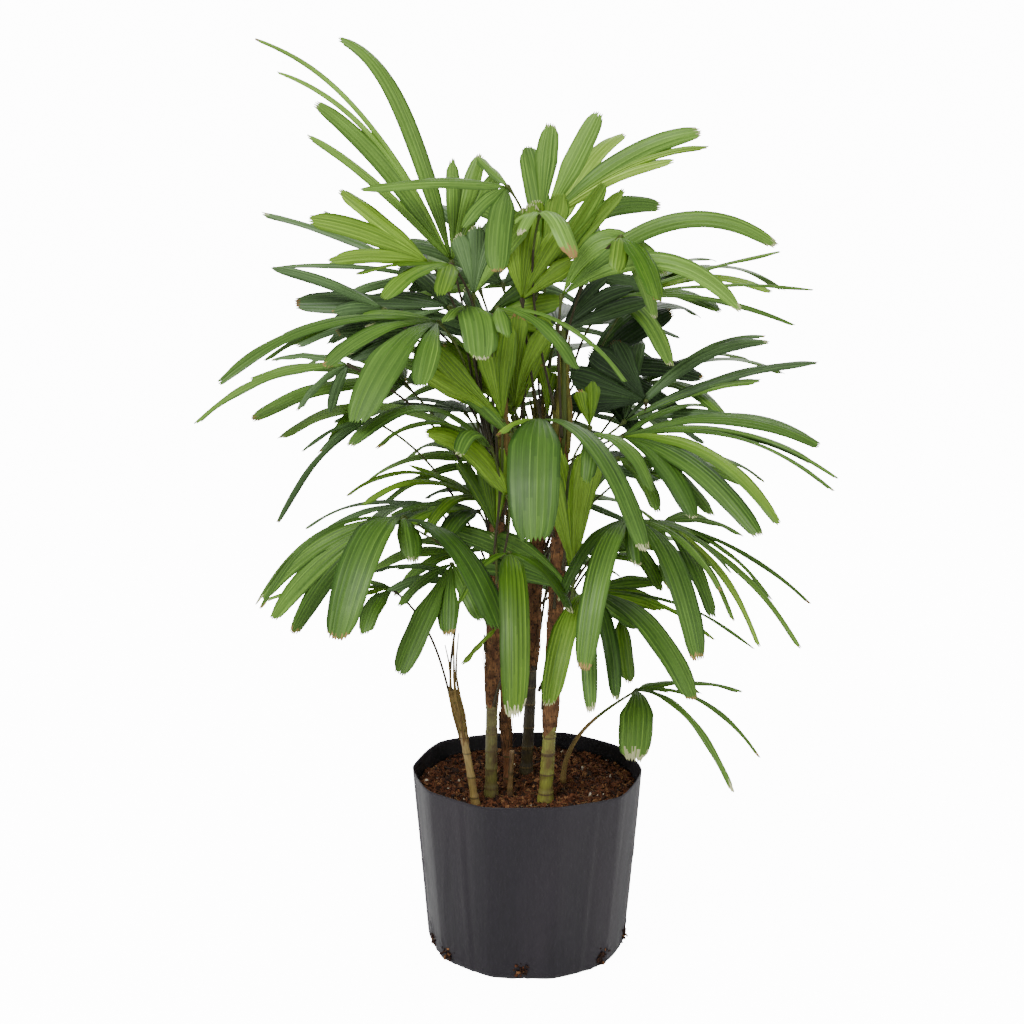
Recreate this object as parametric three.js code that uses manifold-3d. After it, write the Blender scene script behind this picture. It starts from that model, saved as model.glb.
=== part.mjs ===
// Lady palm in a black polythene grow bag.
//
// Millimetres, +Z up. The origin is the centre of the bag's flat underside and -Y is the
// front. Every cane, every fan leaf, the potting mix and the bag is a closed solid of its own.

import * as THREE from 'three';
import { mergeVertices } from 'three/addons/utils/BufferGeometryUtils.js';
import Module from 'manifold-3d';

const wasm = await Module();
wasm.setup();

// ---------------------------------------------------------------- driving dimensions

const CLEAR = 0.3;                 // gap between neighbouring solids
const TRIM_TOLERANCE = 0.1;        // facets smaller than this are merged where limbs join

const BAG = {
  baseRadius: 126, rimRadius: 145, height: 231,
  wall: 2, floor: 2, sides: 40,
  flats: 10, flat: 0.02,           // flats round the film, and how far they pull in, as a share of the radius
  flatTurn: 15,                    // bearing of the middle of one flat
  oval: 0.006,                     // how far the bag is out of round, as a share of the radius
  rimWaves: 3, rimWave: 2,         // slow waves round the cut rim, and their height
  rimRipples: 5, rimRipple: 1,     // quicker ones on top of them
};

const MIX = { top: 211, sides: 40 };

const STALK = {
  radius: 2.7, sides: 3, steps: 6,
  lean: 0.35,                      // how far a stalk leans out as it leaves its cane
  climb: 0.38, land: 0.35,         // share of the way that keeps to each end's direction
  alongFan: 0.6, alongSpan: 0.7,   // a stalk arrives partly along its fan, partly straight
  swing: 24, swings: [0, 1, -1, 2, -2, 3, -3],  // ways round the cane, tried in turn
};
const HUB = { radius: 7.5 };
const BLADE = {
  steps: 4, substeps: 4,
  root: 3,                         // where a leaflet starts, inside its hub
  thickness: 3.1, slimmest: 0.0105, // thickness at the rib, and its least share of the length
  below: 0.35,                     // share of the thickness that lies below the middle line
  sag: 1.3,                        // how late along a leaflet its own weight bends it
  settle: 0.05,                    // how soon a bending leaflet turns flat to the ground
  steep: 0.2,                      // a leaflet within this sine of upright has no level side
  edgeShorter: 0.28, edgeNarrower: 0.3,
  crowding: 0.86,                  // most of the room between neighbours that a leaflet fills
  leastGap: 14,                    // leaflets closer than this may lie on each other near the hub
  bearingJitter: 0.18, lengthJitter: 0.1, droopJitter: 0.2,
};
// share of the full width at stations along a leaflet
const OUTLINE = [[0, 0.25], [0.25, 0.9], [0.5, 1], [0.75, 0.88], [1, 0.42]];

// A leaflet that would touch its neighbours tries these changes in turn.
const TRIES = [
  { turn: 0, lift: 0, trim: 1 }, { turn: 0, lift: 0.15, trim: 1 }, { turn: 0, lift: -0.15, trim: 1 },
  { turn: 5, lift: 0.1, trim: 0.97 }, { turn: -5, lift: -0.1, trim: 0.97 },
  { turn: 0, lift: 0.35, trim: 0.94 }, { turn: 0, lift: -0.35, trim: 0.94 },
  { turn: 8, lift: 0.25, trim: 0.88 }, { turn: -8, lift: -0.25, trim: 0.88 },
  { turn: 4, lift: 0.55, trim: 0.8 }, { turn: -4, lift: -0.55, trim: 0.8 },
  { turn: 0, lift: 0.2, trim: 0.65 }, { turn: 0, lift: -0.2, trim: 0.65 },
];

// Canes: foot and top in plan and height, the sideways bow between, radii, and the height
// where the fibre sheath of old leaf bases begins.
const CANES = {
  cane_thin_left: { foot: [-64, -70], top: [-90, -68, 356], bow: [3, 0], radius: 5.5, tip: 4.5, sheath: 300 },
  cane_left: { foot: [-45, -37], top: [-31, -20, 664], bow: [-6, 0], radius: 8, tip: 6.5, sheath: 322 },
  cane_red: { foot: [-24, -2], top: [-27, 10, 500], bow: [-4, 3], radius: 5.5, tip: 5, sheath: 250 },
  cane_stub: { foot: [-22, -40], top: [-19, -38, 268], bow: [0, 0], radius: 3.6, tip: 3.4, sheath: 600 },
  cane_back: { foot: [-1, 40], top: [14, 46, 640], bow: [5, 3], radius: 8, tip: 6.5, sheath: 350 },
  cane_front: { foot: [22, -55], top: [42, -12, 700], bow: [5, -4], radius: 9, tip: 6.5, sheath: 296 },
};
const CANE = {
  sides: 8, steps: 10, flare: 1.25, flareHeight: 14, sheathGrowth: 1.28, sheathRamp: 24,
  halvings: 24,                    // steps of the search for a height on a cane
};

// Fan leaves. at: height of the leaf base on its cane. hub: where the leaflets meet.
// aim, rise, roll: the way the middle of the fan points (0 is +X, -90 the front), its climb and
// its turn about that line. turns, lengths, widths and droops have one entry for each leaflet: how
// far it turns from the middle of the fan, its size, and how far its tip bends down. A plain fan has
// a spread in degrees and a number of blades instead, all of one length, width and droop.
const LEAVES = [
  // crown
  { name: 'leaf_top_left', cane: 'cane_left', at: 650, hub: [-91, 20, 864], aim: 180, rise: 71, roll: 75,
    turns: [-21, -12, -9, -8, 6, 20, 34, 46], lengths: [225, 245, 305, 350, 300, 120, 130, 118],
    widths: [11, 21, 7, 7, 22, 18, 22, 24], droops: [0.45, 0.55, 0.75, 0.75, 0.92, 0.1, 0.2, 0.2] },
  { name: 'leaf_top_middle', cane: 'cane_back', at: 630, hub: [17, 20, 908], aim: 0, rise: 62, roll: -75,
    turns: [-24, -3, 17, 23, 26], lengths: [117, 145, 218, 218, 172], widths: [28, 27, 24, 9, 14],
    droops: [0.1, 0.15, 0.65, 0.6, 0.45] },
  { name: 'leaf_left_far', cane: 'cane_left', at: 560, hub: [-216, 10, 741], aim: 186, rise: 2, roll: 20,
    turns: [-70, -40, -3, 35], lengths: [80, 92, 200, 110], widths: [14, 13, 21, 18],
    droops: [1, 1, 0.95, 0.6] },
  { name: 'leaf_right_level', cane: 'cane_front', at: 570, hub: [111, -50, 664], aim: -24, rise: 20,
    roll: -20, turns: [-55, -9, 6, 10, 13, 17, 25, 34, 45],
    lengths: [150, 240, 250, 285, 290, 135, 262, 265, 190],
    widths: [20, 31, 15, 6, 6, 9, 19, 27, 27],
    droops: [0.8, 0.9, 0.8, 0.8, 0.85, 0.6, 1.05, 0.95, 0.9] },
  { name: 'leaf_right_rising', cane: 'cane_front', at: 610, hub: [118, 30, 668], aim: 12, rise: 46, roll: -38,
    turns: [-40, -4, 0, 22, 30, 38], lengths: [140, 215, 210, 245, 178, 150],
    widths: [19, 8, 19, 14, 12, 14], droops: [0.8, 0.85, 0.8, 0.5, 0.5, 0.5] },
  { name: 'leaf_right_upper', cane: 'cane_back', at: 600, hub: [103, 60, 816], aim: 0, rise: 12, roll: -12,
    turns: [-70, -45, -20, 4, 20, 50], lengths: [140, 190, 230, 242, 228, 130],
    widths: [20, 20, 11, 8, 13, 25], droops: [0.4, 0.4, 0.15, 0.35, 0.55, 2] },
  { name: 'leaf_right_fold', cane: 'cane_front', at: 660, hub: [39, -40, 830], aim: 0, rise: 74, roll: -70,
    turns: [5, 15, 27, 36], lengths: [206, 160, 285, 240], widths: [32, 20, 20, 22],
    droops: [2.75, 1.7, 1.25, 1.6] },
  { name: 'leaf_upright_left', cane: 'cane_left', at: 658, hub: [-24, -10, 955], aim: 188, rise: 4, roll: 34,
    turns: [-80, -38, 0, 62], lengths: [135, 80, 170, 65], widths: [31, 20, 22, 14],
    droops: [0.5, 0.9, 0.2, 0.3] },
  { name: 'leaf_left_upper', cane: 'cane_back', at: 570, hub: [-116, 60, 840], aim: 176, rise: 16, roll: 28,
    turns: [-30, -5, 15, 25, 32, 46, 64], lengths: [125, 195, 235, 110, 185, 190, 100],
    widths: [18, 11, 14, 26, 20, 7, 22], droops: [0.5, 0.42, 0.2, 0.45, 0.25, 0.3, 0.5] },
  // the skirt of the clump, left and right
  { name: 'leaf_low_left', cane: 'cane_left', at: 470, hub: [-150, -60, 565], aim: -108, rise: 22, roll: 0,
    turns: [-55, -28, 2, 50, 58], lengths: [222, 95, 236, 214, 214], widths: [43, 30, 48, 27, 16],
    droops: [1.9, 1.9, 2.4, 2.1, 2] },
  { name: 'leaf_low_right', cane: 'cane_front', at: 450, hub: [163, -10, 551], aim: -8, rise: -6, roll: -15,
    turns: [-60, -35, 12, 15, 30, 40, 46, 57, 78],
    lengths: [100, 120, 205, 165, 235, 205, 165, 155, 110], widths: [16, 18, 8, 9, 11, 12, 9, 21, 18],
    droops: [0.8, 0.8, 0.75, 1.1, 1, 1.3, 1.1, 1, 1] },
  { name: 'leaf_foot_right', foot: [45, 0], hub: [134, -40, 347], aim: -22, rise: 16, roll: 0,
    turns: [-80, -55, -20, 14, 32, 73], lengths: [85, 105, 128, 190, 210, 112],
    widths: [14, 14, 10, 10, 10, 42], droops: [1, 1, 0.65, 1.4, 1.7, 2.4] },
  // front
  { name: 'leaf_front_centre', cane: 'cane_front', at: 540, hub: [13, -72, 688], aim: -96, rise: 16, roll: 0,
    turns: [-37, -3, 50], lengths: [262, 215, 60], widths: [31, 60, 18], droops: [2, 2.7, 1] },
  { name: 'leaf_front_right', cane: 'cane_front', at: 500, hub: [70, -104, 678], aim: -30, rise: 8, roll: 0,
    turns: [10, 64], lengths: [114, 84], widths: [28, 20], droops: [2.1, 2] },
  { name: 'leaf_left_broad', cane: 'cane_left', at: 610, hub: [-105, -50, 801], aim: 202, rise: 12, roll: 10,
    turns: [-62, -42, -18, -2, 4, 40], lengths: [140, 215, 170, 280, 215, 150],
    widths: [30, 46, 26, 26, 18, 26], droops: [1, 1.35, 0.9, 0.98, 0.95, 0.9] },
  { name: 'leaf_left_bright', cane: 'cane_left', at: 640, hub: [-90, -48, 868], aim: 214, rise: 4, roll: 0,
    turns: [-50, -12, 40, 75], lengths: [90, 112, 110, 85], widths: [24, 30, 20, 20],
    droops: [0.9, 0.9, 0.4, 0.6] },
  { name: 'leaf_middle_pale', cane: 'cane_left', at: 600, hub: [-36, -70, 820], aim: -70, rise: 2, roll: 0,
    turns: [-46, -26, 8], lengths: [182, 142, 60], widths: [11, 26, 20], droops: [1.3, 1.3, 1.6] },
  { name: 'leaf_left_arch', cane: 'cane_left', at: 500, hub: [-44, -70, 655], aim: 184, rise: 39, roll: -20,
    turns: [26, 0, -30, -52], lengths: [300, 150, 238, 120], widths: [36, 22, 27, 20],
    droops: [1.3, 1.5, 1.3, 1.2] },
  { name: 'leaf_low_front', cane: 'cane_left', at: 430, hub: [-22, -115, 539], aim: -92, rise: 4, roll: 0,
    turns: [-60, -4, 60], lengths: [110, 240, 90], widths: [22, 34, 20], droops: [2.2, 2.8, 2.6] },
  { name: 'leaf_low_middle', cane: 'cane_front', at: 380, hub: [68, -75, 481], aim: -60, rise: 8, roll: 0,
    turns: [-48, -40, -12, 16, 29, 48], lengths: [215, 168, 212, 175, 195, 185],
    widths: [6, 13, 37, 19, 20, 31], droops: [0.95, 0.95, 1.75, 2.4, 2.2, 2.2] },
  { name: 'leaf_right_hanging', cane: 'cane_front', at: 460, hub: [119, -70, 568], aim: -85, rise: 8, roll: 0,
    turns: [-75, -50, -18, 0, 24, 48], lengths: [140, 150, 235, 85, 240, 150],
    widths: [20, 20, 31, 19, 31, 24], droops: [1.4, 1.7, 2.3, 2, 2.6, 2.2] },
  { name: 'leaf_low_left_inner', cane: 'cane_thin_left', at: 345, hub: [-91, -62, 512], aim: -124, rise: -30,
    roll: 0, turns: [-60, -28, -5, 45], lengths: [90, 100, 160, 80], widths: [22, 26, 33, 20],
    droops: [1.2, 1, 0.6, 1] },
  { name: 'leaf_low_left_rear', cane: 'cane_thin_left', at: 330, hub: [-167, 20, 458], aim: 184, rise: 10,
    roll: 0, turns: [-62, -25, 2, 50], lengths: [90, 70, 158, 90], widths: [26, 16, 12, 18],
    droops: [1.5, 0.9, 0.6, 0.6] },
  { name: 'leaf_low_arch', cane: 'cane_red', at: 430, hub: [-60, 0, 577], aim: 182, rise: 36, roll: 0,
    turns: [-45, -25, -6, 12, 40], lengths: [120, 168, 172, 105, 120], widths: [16, 15, 12, 10, 16],
    droops: [1.25, 1.1, 1.25, 0.7, 1] },
  // inside and between
  { name: 'leaf_left_level', cane: 'cane_red', at: 490, hub: [-93, -16, 814], aim: 178, rise: 0, roll: 45,
    turns: [-10, 1, 26, 55], lengths: [100, 190, 155, 100], widths: [26, 36, 20, 24],
    droops: [0.3, 0.05, 0.9, 0.5] },
  { name: 'leaf_left_lower', cane: 'cane_red', at: 460, hub: [-190, 0, 676], aim: 205, rise: -6, roll: 0,
    turns: [-38, -12, 15], lengths: [225, 80, 90], widths: [10, 12, 14], droops: [0.8, 0.9, 0.9] },
  { name: 'leaf_left_olive', cane: 'cane_red', at: 492, hub: [-6, 24, 690], aim: 182, rise: 36, roll: 30,
    spread: 90, blades: 5, length: 150, width: 29, droop: 0.5 },
  { name: 'leaf_top_fold', cane: 'cane_front', at: 692, hub: [14, -36, 926], aim: -60, rise: 12, roll: 0,
    turns: [4, 56, 100], lengths: [102, 60, 55], widths: [24, 18, 16], droops: [2.1, 1.4, 1.2] },
  { name: 'leaf_right_dark', cane: 'cane_back', at: 540, hub: [72, 90, 722], aim: 5, rise: 10, roll: -45,
    turns: [-48, -25, 0, 30, 60], lengths: [250, 165, 150, 140, 120], widths: [32, 34, 30, 28, 24],
    droops: [1.1, 0.5, 0.6, 0.6, 0.6] },
  { name: 'leaf_upright_middle', cane: 'cane_front', at: 620, hub: [-16, -18, 692], aim: -90, rise: 80,
    roll: 0, turns: [40, 26, 12, -2, -16], lengths: [104, 116, 122, 120, 112],
    widths: [24, 28, 30, 30, 24], droops: [0.6, 0.5, 0.4, 0.4, 0.5] },
  { name: 'leaf_middle_upper', cane: 'cane_left', at: 630, hub: [10, 0, 830], aim: -90, rise: 82, roll: 0,
    turns: [-38, -30, -12, 4, 20], lengths: [158, 150, 120, 105, 95], widths: [18, 24, 34, 36, 26],
    droops: [0.1, 0.1, 0.15, 0.2, 0.3] },
  { name: 'leaf_yellow', cane: 'cane_front', at: 380, hub: [56, -66, 500], aim: -90, rise: 82, roll: 0,
    turns: [12, -2], lengths: [150, 176], widths: [30, 36], droops: [0.3, 0.2] },
  { name: 'leaf_low_left_side', cane: 'cane_left', at: 440, hub: [-150, -22, 560], aim: 182, rise: -8,
    roll: 60, turns: [2, -8, -20], lengths: [205, 206, 196], widths: [20, 27, 27],
    droops: [1.25, 1.3, 1.3] },
];

// The far side of the clump, tier by tier.
const TIERS = [
  { cane: 'cane_back', at: 620, height: 850, reach: 85, from: 75, to: 115, leaves: 2,
    rise: 56, length: 180, droop: 0.7 },
  { cane: 'cane_back', at: 580, height: 790, reach: 150, from: 35, to: 150, leaves: 4,
    rise: 20, length: 215, droop: 0.7 },
  { cane: 'cane_back', at: 500, height: 680, reach: 155, from: 30, to: 155, leaves: 5,
    rise: 16, length: 215, droop: 0.8 },
  { cane: 'cane_red', at: 430, height: 565, reach: 145, from: 35, to: 150, leaves: 4,
    rise: 14, length: 200, droop: 1.0 },
  { cane: 'cane_red', at: 340, height: 450, reach: 130, from: 50, to: 125, leaves: 3,
    rise: 12, length: 150, droop: 1.1 },
];
const TIER = {
  centre: [0, 30], spread: 150, blades: 6, width: 31,
  heightStep: 22, reachStep: 13, atStep: 12,    // neighbours differ by turns, to keep clear
  riseStep: 6, rollStep: 8,
};

// ---------------------------------------------------------------- materials

function paint(color, roughness) {
  return new THREE.MeshStandardMaterial({ color, roughness, metalness: 0 });
}

const filmMaterial = paint(0x38363b, 0.5);
const mixMaterial = paint(0x4a2c1e, 0.95);
const caneMaterial = paint(0x5d5a2a, 0.7);
const leafMaterial = paint(0x3f7a2c, 0.45);

// ---------------------------------------------------------------- small helpers

const radians = THREE.MathUtils.degToRad;
const UP = new THREE.Vector3(0, 0, 1);
const vec = (x, y, z) => new THREE.Vector3(x, y, z);
const plus = (a, b, k = 1) => a.clone().addScaledVector(b, k);

// A repeatable stream of numbers between -1 and 1.
function stream(seed) {
  let state = (seed * 7919 + 12345) >>> 0;
  return () => {
    state = (Math.imul(state, 1664525) + 1013904223) >>> 0;
    return state / 2147483648 - 1;
  };
}

function closedBody(geometry) {
  geometry.deleteAttribute('normal');
  geometry.deleteAttribute('uv');
  return mergeVertices(geometry, 1e-4);
}

function toSolid(geometry) {
  const body = closedBody(geometry);
  return new wasm.Manifold(new wasm.Mesh({
    numProp: 3,
    vertProperties: new Float32Array(body.getAttribute('position').array),
    triVerts: new Uint32Array(body.getIndex().array),
  }));
}

function toGeometry(solid) {
  const mesh = solid.getMesh();
  const geometry = new THREE.BufferGeometry();
  geometry.setAttribute('position', new THREE.BufferAttribute(mesh.vertProperties, 3));
  geometry.setIndex(new THREE.BufferAttribute(mesh.triVerts, 1));
  geometry.computeVertexNormals();
  return geometry;
}

// A straight prism whose points are then carried to their places by place(x, y, along).
function prism(corners, steps, place) {
  const section = new THREE.Shape(corners);
  const geometry = new THREE.ExtrudeGeometry(section, { depth: 1, steps, bevelEnabled: false });
  const points = geometry.getAttribute('position');
  for (let i = 0; i < points.count; i += 1) {
    const p = place(points.getX(i), points.getY(i), points.getZ(i));
    points.setXYZ(i, p.x, p.y, p.z);
  }
  return geometry;
}

function ngon(sides) {
  return Array.from({ length: sides }, (_, i) => {
    const turn = (2 * Math.PI * i) / sides;
    return new THREE.Vector2(Math.cos(turn), Math.sin(turn));
  });
}

// A tube of one radius round a curve.
function tube(curve, sides, steps, radius) {
  return prism(ngon(sides), steps, (x, y, along) => {
    const tangent = curve.getTangent(along);
    const across = vec(0, 1, 0).cross(tangent).normalize();
    const other = tangent.clone().cross(across);
    return plus(plus(curve.getPoint(along), across, x * radius), other, y * radius);
  });
}

// ---------------------------------------------------------------- bag and potting mix

// The film is drawn in on its flats, and its rim is cut in a slow wave.
function filmShare(turn) {
  const drawn = (1 + Math.cos(BAG.flats * (turn - radians(BAG.flatTurn)))) / 2;
  return 1 - BAG.flat * drawn - BAG.oval * Math.sin(2 * turn);
}

function rimLift(turn) {
  return BAG.rimWave * Math.sin(BAG.rimWaves * turn) + BAG.rimRipple * Math.cos(BAG.rimRipples * turn);
}

function shapeFilm(geometry) {
  const points = geometry.getAttribute('position');
  for (let i = 0; i < points.count; i += 1) {
    const [x, y, z] = [points.getX(i), points.getY(i), points.getZ(i)];
    const turn = Math.atan2(y, x);
    const share = filmShare(turn);
    const lift = z > BAG.height - 1 ? rimLift(turn) : 0;
    points.setXYZ(i, x * share, y * share, z + lift);
  }
  return geometry;
}

// A profile of [radius, height] pairs, closed on itself or on the axis, turned round Z.
function turned(profile, sides) {
  const lathe = new THREE.LatheGeometry(profile.map(([r, h]) => new THREE.Vector2(r, h)), sides);
  return closedBody(lathe.rotateX(Math.PI / 2));
}

function bag() {
  const { baseRadius, rimRadius, height, wall, floor, sides } = BAG;
  const profile = [
    [0, 0], [baseRadius, 0], [rimRadius, height],
    [rimRadius - wall, height], [baseRadius - wall, floor], [0, floor],
  ];
  return shapeFilm(turned(profile, sides));
}

function mix() {
  const inset = BAG.wall + 2 * CLEAR;
  const slope = (BAG.rimRadius - BAG.baseRadius) / BAG.height;
  const radiusAt = (z) => BAG.baseRadius + slope * z - inset;
  const bottom = BAG.floor + CLEAR;
  const profile = [
    [0, bottom], [radiusAt(bottom), bottom], [radiusAt(MIX.top), MIX.top], [0, MIX.top],
  ];
  return shapeFilm(turned(profile, MIX.sides));
}

// ---------------------------------------------------------------- canes

function caneCurve({ foot, top, bow }) {
  const start = vec(foot[0], foot[1], MIX.top + CLEAR);
  const end = vec(...top);
  const middle = plus(start, end).multiplyScalar(0.5).add(vec(bow[0], bow[1], 0));
  return new THREE.QuadraticBezierCurve3(start, middle, end);
}

function caneRadius(cane, height) {
  const climbed = height - MIX.top;
  const share = climbed / (cane.top[2] - MIX.top);
  const wood = cane.radius + (cane.tip - cane.radius) * share;
  const flare = 1 + (CANE.flare - 1) * Math.max(0, 1 - climbed / CANE.flareHeight);
  const wrapped = Math.min(1, Math.max(0, (height - cane.sheath) / CANE.sheathRamp));
  return wood * flare * (1 + (CANE.sheathGrowth - 1) * wrapped);
}

function caneSolid(cane) {
  const curve = caneCurve(cane);
  return prism(ngon(CANE.sides), CANE.steps, (x, y, along) => {
    const centre = curve.getPoint(along);
    const radius = caneRadius(cane, centre.z);
    return plus(centre, vec(x * radius, y * radius, 0));
  });
}

// The point of a cane's middle line at a height.
function canePoint(cane, height) {
  const curve = caneCurve(cane);
  let [low, high] = [0, 1];
  for (let i = 0; i < CANE.halvings; i += 1) {
    const half = (low + high) / 2;
    if (curve.getPoint(half).z < height) low = half;
    else high = half;
  }
  return curve.getPoint(low);
}

// ---------------------------------------------------------------- fan leaves

// The fan's three axes: forward, to its right, and out of its upper face.
function fanAxes({ aim, rise, roll }) {
  const [a, e, r] = [radians(aim), radians(rise), radians(roll)];
  const forward = vec(Math.cos(e) * Math.cos(a), Math.cos(e) * Math.sin(a), Math.sin(e));
  const level = vec(Math.sin(a), -Math.cos(a), 0);
  const above = level.clone().cross(forward);
  const right = plus(level.clone().multiplyScalar(Math.cos(r)), above, Math.sin(r));
  return { forward, right };
}

function stalkCurve(leaf, swing) {
  const hub = vec(...leaf.hub);
  const { forward } = fanAxes(leaf);
  let start;
  let lean;
  if (leaf.foot) {
    start = vec(leaf.foot[0], leaf.foot[1], MIX.top + CLEAR);
    lean = UP.clone();
  } else {
    const cane = CANES[leaf.cane];
    const centre = canePoint(cane, leaf.at);
    const out = vec(hub.x - centre.x, hub.y - centre.y, 0).normalize().applyAxisAngle(UP, radians(swing));
    start = plus(centre, out, caneRadius(cane, leaf.at) + STALK.radius + 3 * CLEAR);
    lean = plus(UP, out, STALK.lean).normalize();
  }
  const span = start.distanceTo(hub);
  const straight = plus(hub, start, -1).normalize();
  const arrive = plus(forward.multiplyScalar(STALK.alongFan), straight, STALK.alongSpan).normalize();
  const leave = plus(start, lean, span * STALK.climb);
  const land = plus(hub, arrive, -span * STALK.land);
  return new THREE.CubicBezierCurve3(start, leave, land, hub);
}

function stalkSolid(curve, margin) {
  return toSolid(tube(curve, STALK.sides, STALK.steps, STALK.radius + margin));
}

// The middle line of a leaflet and its width direction at each station.
function bladeLine(leaf, bearing, length, droop) {
  const { forward, right } = fanAxes(leaf);
  const [c, s] = [Math.cos(radians(bearing)), Math.sin(radians(bearing))];
  const heading = plus(forward.clone().multiplyScalar(c), right, s);
  let across = plus(right.clone().multiplyScalar(c), forward, -s);
  let point = plus(vec(...leaf.hub), heading, BLADE.root);
  const stations = [{ point: point.clone(), across: across.clone(), tangent: heading.clone() }];
  const count = BLADE.steps * BLADE.substeps;
  for (let i = 1; i <= count; i += 1) {
    const share = (i - 0.5) / count;
    const tangent = plus(heading, UP, -droop * share ** BLADE.sag).normalize();
    point = plus(point, tangent, length / count);
    across = plus(across, tangent, -across.dot(tangent)).normalize();
    const level = tangent.clone().cross(UP);
    if (level.length() > BLADE.steep) {
      level.normalize();
      const settle = BLADE.settle * droop * share;
      across = plus(across, level, settle * (level.dot(across) < 0 ? -1 : 1)).normalize();
    }
    if (i % BLADE.substeps === 0) stations.push({ point: point.clone(), across: across.clone(), tangent });
  }
  return stations;
}

function outlineAt(share) {
  const next = OUTLINE.findIndex(([s]) => s >= share);
  if (next <= 0) return OUTLINE[0][1];
  const [[s0, w0], [s1, w1]] = [OUTLINE[next - 1], OUTLINE[next]];
  return w0 + ((w1 - w0) * (share - s0)) / (s1 - s0);
}

// A leaflet is a three-sided blade: two edges, and the rib raised between them.
function bladeSolid(stations, size, margin) {
  const corners = [new THREE.Vector2(-1, 0), new THREE.Vector2(1, 0), new THREE.Vector2(0, 1)];
  const geometry = prism(corners, BLADE.steps, (x, y, along) => {
    const { point, across, tangent } = stations[Math.round(along * BLADE.steps)];
    const above = across.clone().cross(tangent).normalize();
    const half = Math.min(size.width * outlineAt(along), size.room * (BLADE.root + size.length * along)) / 2;
    const rise = y * (size.thickness + 2 * margin) - margin - size.thickness * BLADE.below;
    return plus(plus(point, across, -x * (half + margin)), above, rise);
  });
  return toSolid(geometry);
}

// How fast the room for a leaflet grows with the way from its hub.
function roomFor(gap) {
  return BLADE.crowding * 2 * Math.tan(radians(gap / 2));
}

// The leaflets of one fan: each as its own lists have it, or evenly spread with a little chance.
function leaflets(leaf, random) {
  const count = leaf.turns ? leaf.turns.length : leaf.blades;
  const step = leaf.turns ? 0 : leaf.spread / (count - 1);
  return Array.from({ length: count }, (_, i) => {
    const [turn, stretch, bend] = [random(), random(), random()];
    if (leaf.turns) {
      const gaps = leaf.turns.filter((_other, j) => j !== i).map((other) => Math.abs(other - leaf.turns[i]));
      const gap = Math.max(BLADE.leastGap, Math.min(...gaps));
      return {
        bearing: leaf.turns[i], length: leaf.lengths[i], width: leaf.widths[i], droop: leaf.droops[i],
        room: roomFor(gap),
      };
    }
    const side = (2 * i) / (count - 1) - 1;
    return {
      bearing: side * leaf.spread / 2 + step * BLADE.bearingJitter * turn,
      length: leaf.length * (1 - BLADE.edgeShorter * side * side) * (1 + BLADE.lengthJitter * stretch),
      width: leaf.width * (1 - BLADE.edgeNarrower * side * side),
      droop: leaf.droop * (1 + BLADE.droopJitter * bend),
      room: roomFor(step),
    };
  });
}

// ---------------------------------------------------------------- keeping limbs apart

const placed = [];

function keep(owner, solid) {
  placed.push({ owner, solid, box: solid.boundingBox() });
}

function boxesMeet(a, b) {
  return [0, 1, 2].every((k) => a.min[k] <= b.max[k] && b.min[k] <= a.max[k]);
}

function touches(owner, solid) {
  const box = solid.boundingBox();
  return placed.some((other) => other.owner !== owner && boxesMeet(box, other.box)
    && !solid.intersect(other.solid).isEmpty());
}

function placeHub(leaf) {
  const hub = new THREE.IcosahedronGeometry(HUB.radius, 0);
  const solid = toSolid(hub.translate(...leaf.hub));
  if (touches(leaf.name, solid)) throw new Error(`the hub of ${leaf.name} has no room`);
  keep(leaf.name, solid);
  return solid;
}

function placeStalk(leaf) {
  for (const swing of STALK.swings) {
    const curve = stalkCurve(leaf, swing * STALK.swing);
    if (!touches(leaf.name, stalkSolid(curve, CLEAR))) {
      const solid = stalkSolid(curve, 0);
      keep(leaf.name, solid);
      return solid;
    }
  }
  throw new Error(`no clear way for the stalk of ${leaf.name}`);
}

function placeBlades(leaf, seed) {
  const kept = [];
  for (const leaflet of leaflets(leaf, stream(seed))) {
    for (const { turn, lift, trim } of TRIES) {
      const length = leaflet.length * trim;
      const thickness = Math.max(BLADE.thickness, BLADE.slimmest * length);
      const size = { ...leaflet, length, thickness };
      const line = bladeLine(leaf, leaflet.bearing + turn, length, leaflet.droop + lift);
      if (!touches(leaf.name, bladeSolid(line, size, CLEAR))) {
        kept.push(bladeSolid(line, size, 0));
        break;
      }
    }
  }
  kept.forEach((solid) => keep(leaf.name, solid));
  return kept;
}

// ---------------------------------------------------------------- the whole plant

function tierLeaves() {
  const rows = [];
  TIERS.forEach((tier, level) => {
    for (let i = 0; i < tier.leaves; i += 1) {
      const share = tier.leaves > 1 ? i / (tier.leaves - 1) : 0.5;
      const aim = tier.from + (tier.to - tier.from) * share;
      const odd = i % 2 === 0 ? 1 : -1;
      const reach = tier.reach + TIER.reachStep * odd;
      rows.push({
        name: `leaf_back_${level + 1}_${i + 1}`,
        cane: tier.cane,
        at: tier.at - TIER.atStep * i,
        hub: [
          TIER.centre[0] + reach * Math.cos(radians(aim)),
          TIER.centre[1] + reach * Math.sin(radians(aim)),
          tier.height + TIER.heightStep * odd,
        ],
        aim, rise: tier.rise + TIER.riseStep * odd, roll: TIER.rollStep * odd,
        spread: TIER.spread, blades: TIER.blades,
        length: tier.length, width: TIER.width, droop: tier.droop,
      });
    }
  });
  return rows;
}

const group = new THREE.Group();

function add(name, geometry, material) {
  const mesh = new THREE.Mesh(geometry, material);
  mesh.name = name;
  group.add(mesh);
}

add('bag', bag(), filmMaterial);
add('mix', mix(), mixMaterial);

for (const [name, cane] of Object.entries(CANES)) {
  const geometry = caneSolid(cane);
  keep(name, toSolid(geometry.clone()));
  add(name, closedBody(geometry), caneMaterial);
}
keep('bag', toSolid(bag()));
keep('mix', toSolid(mix()));

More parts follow.
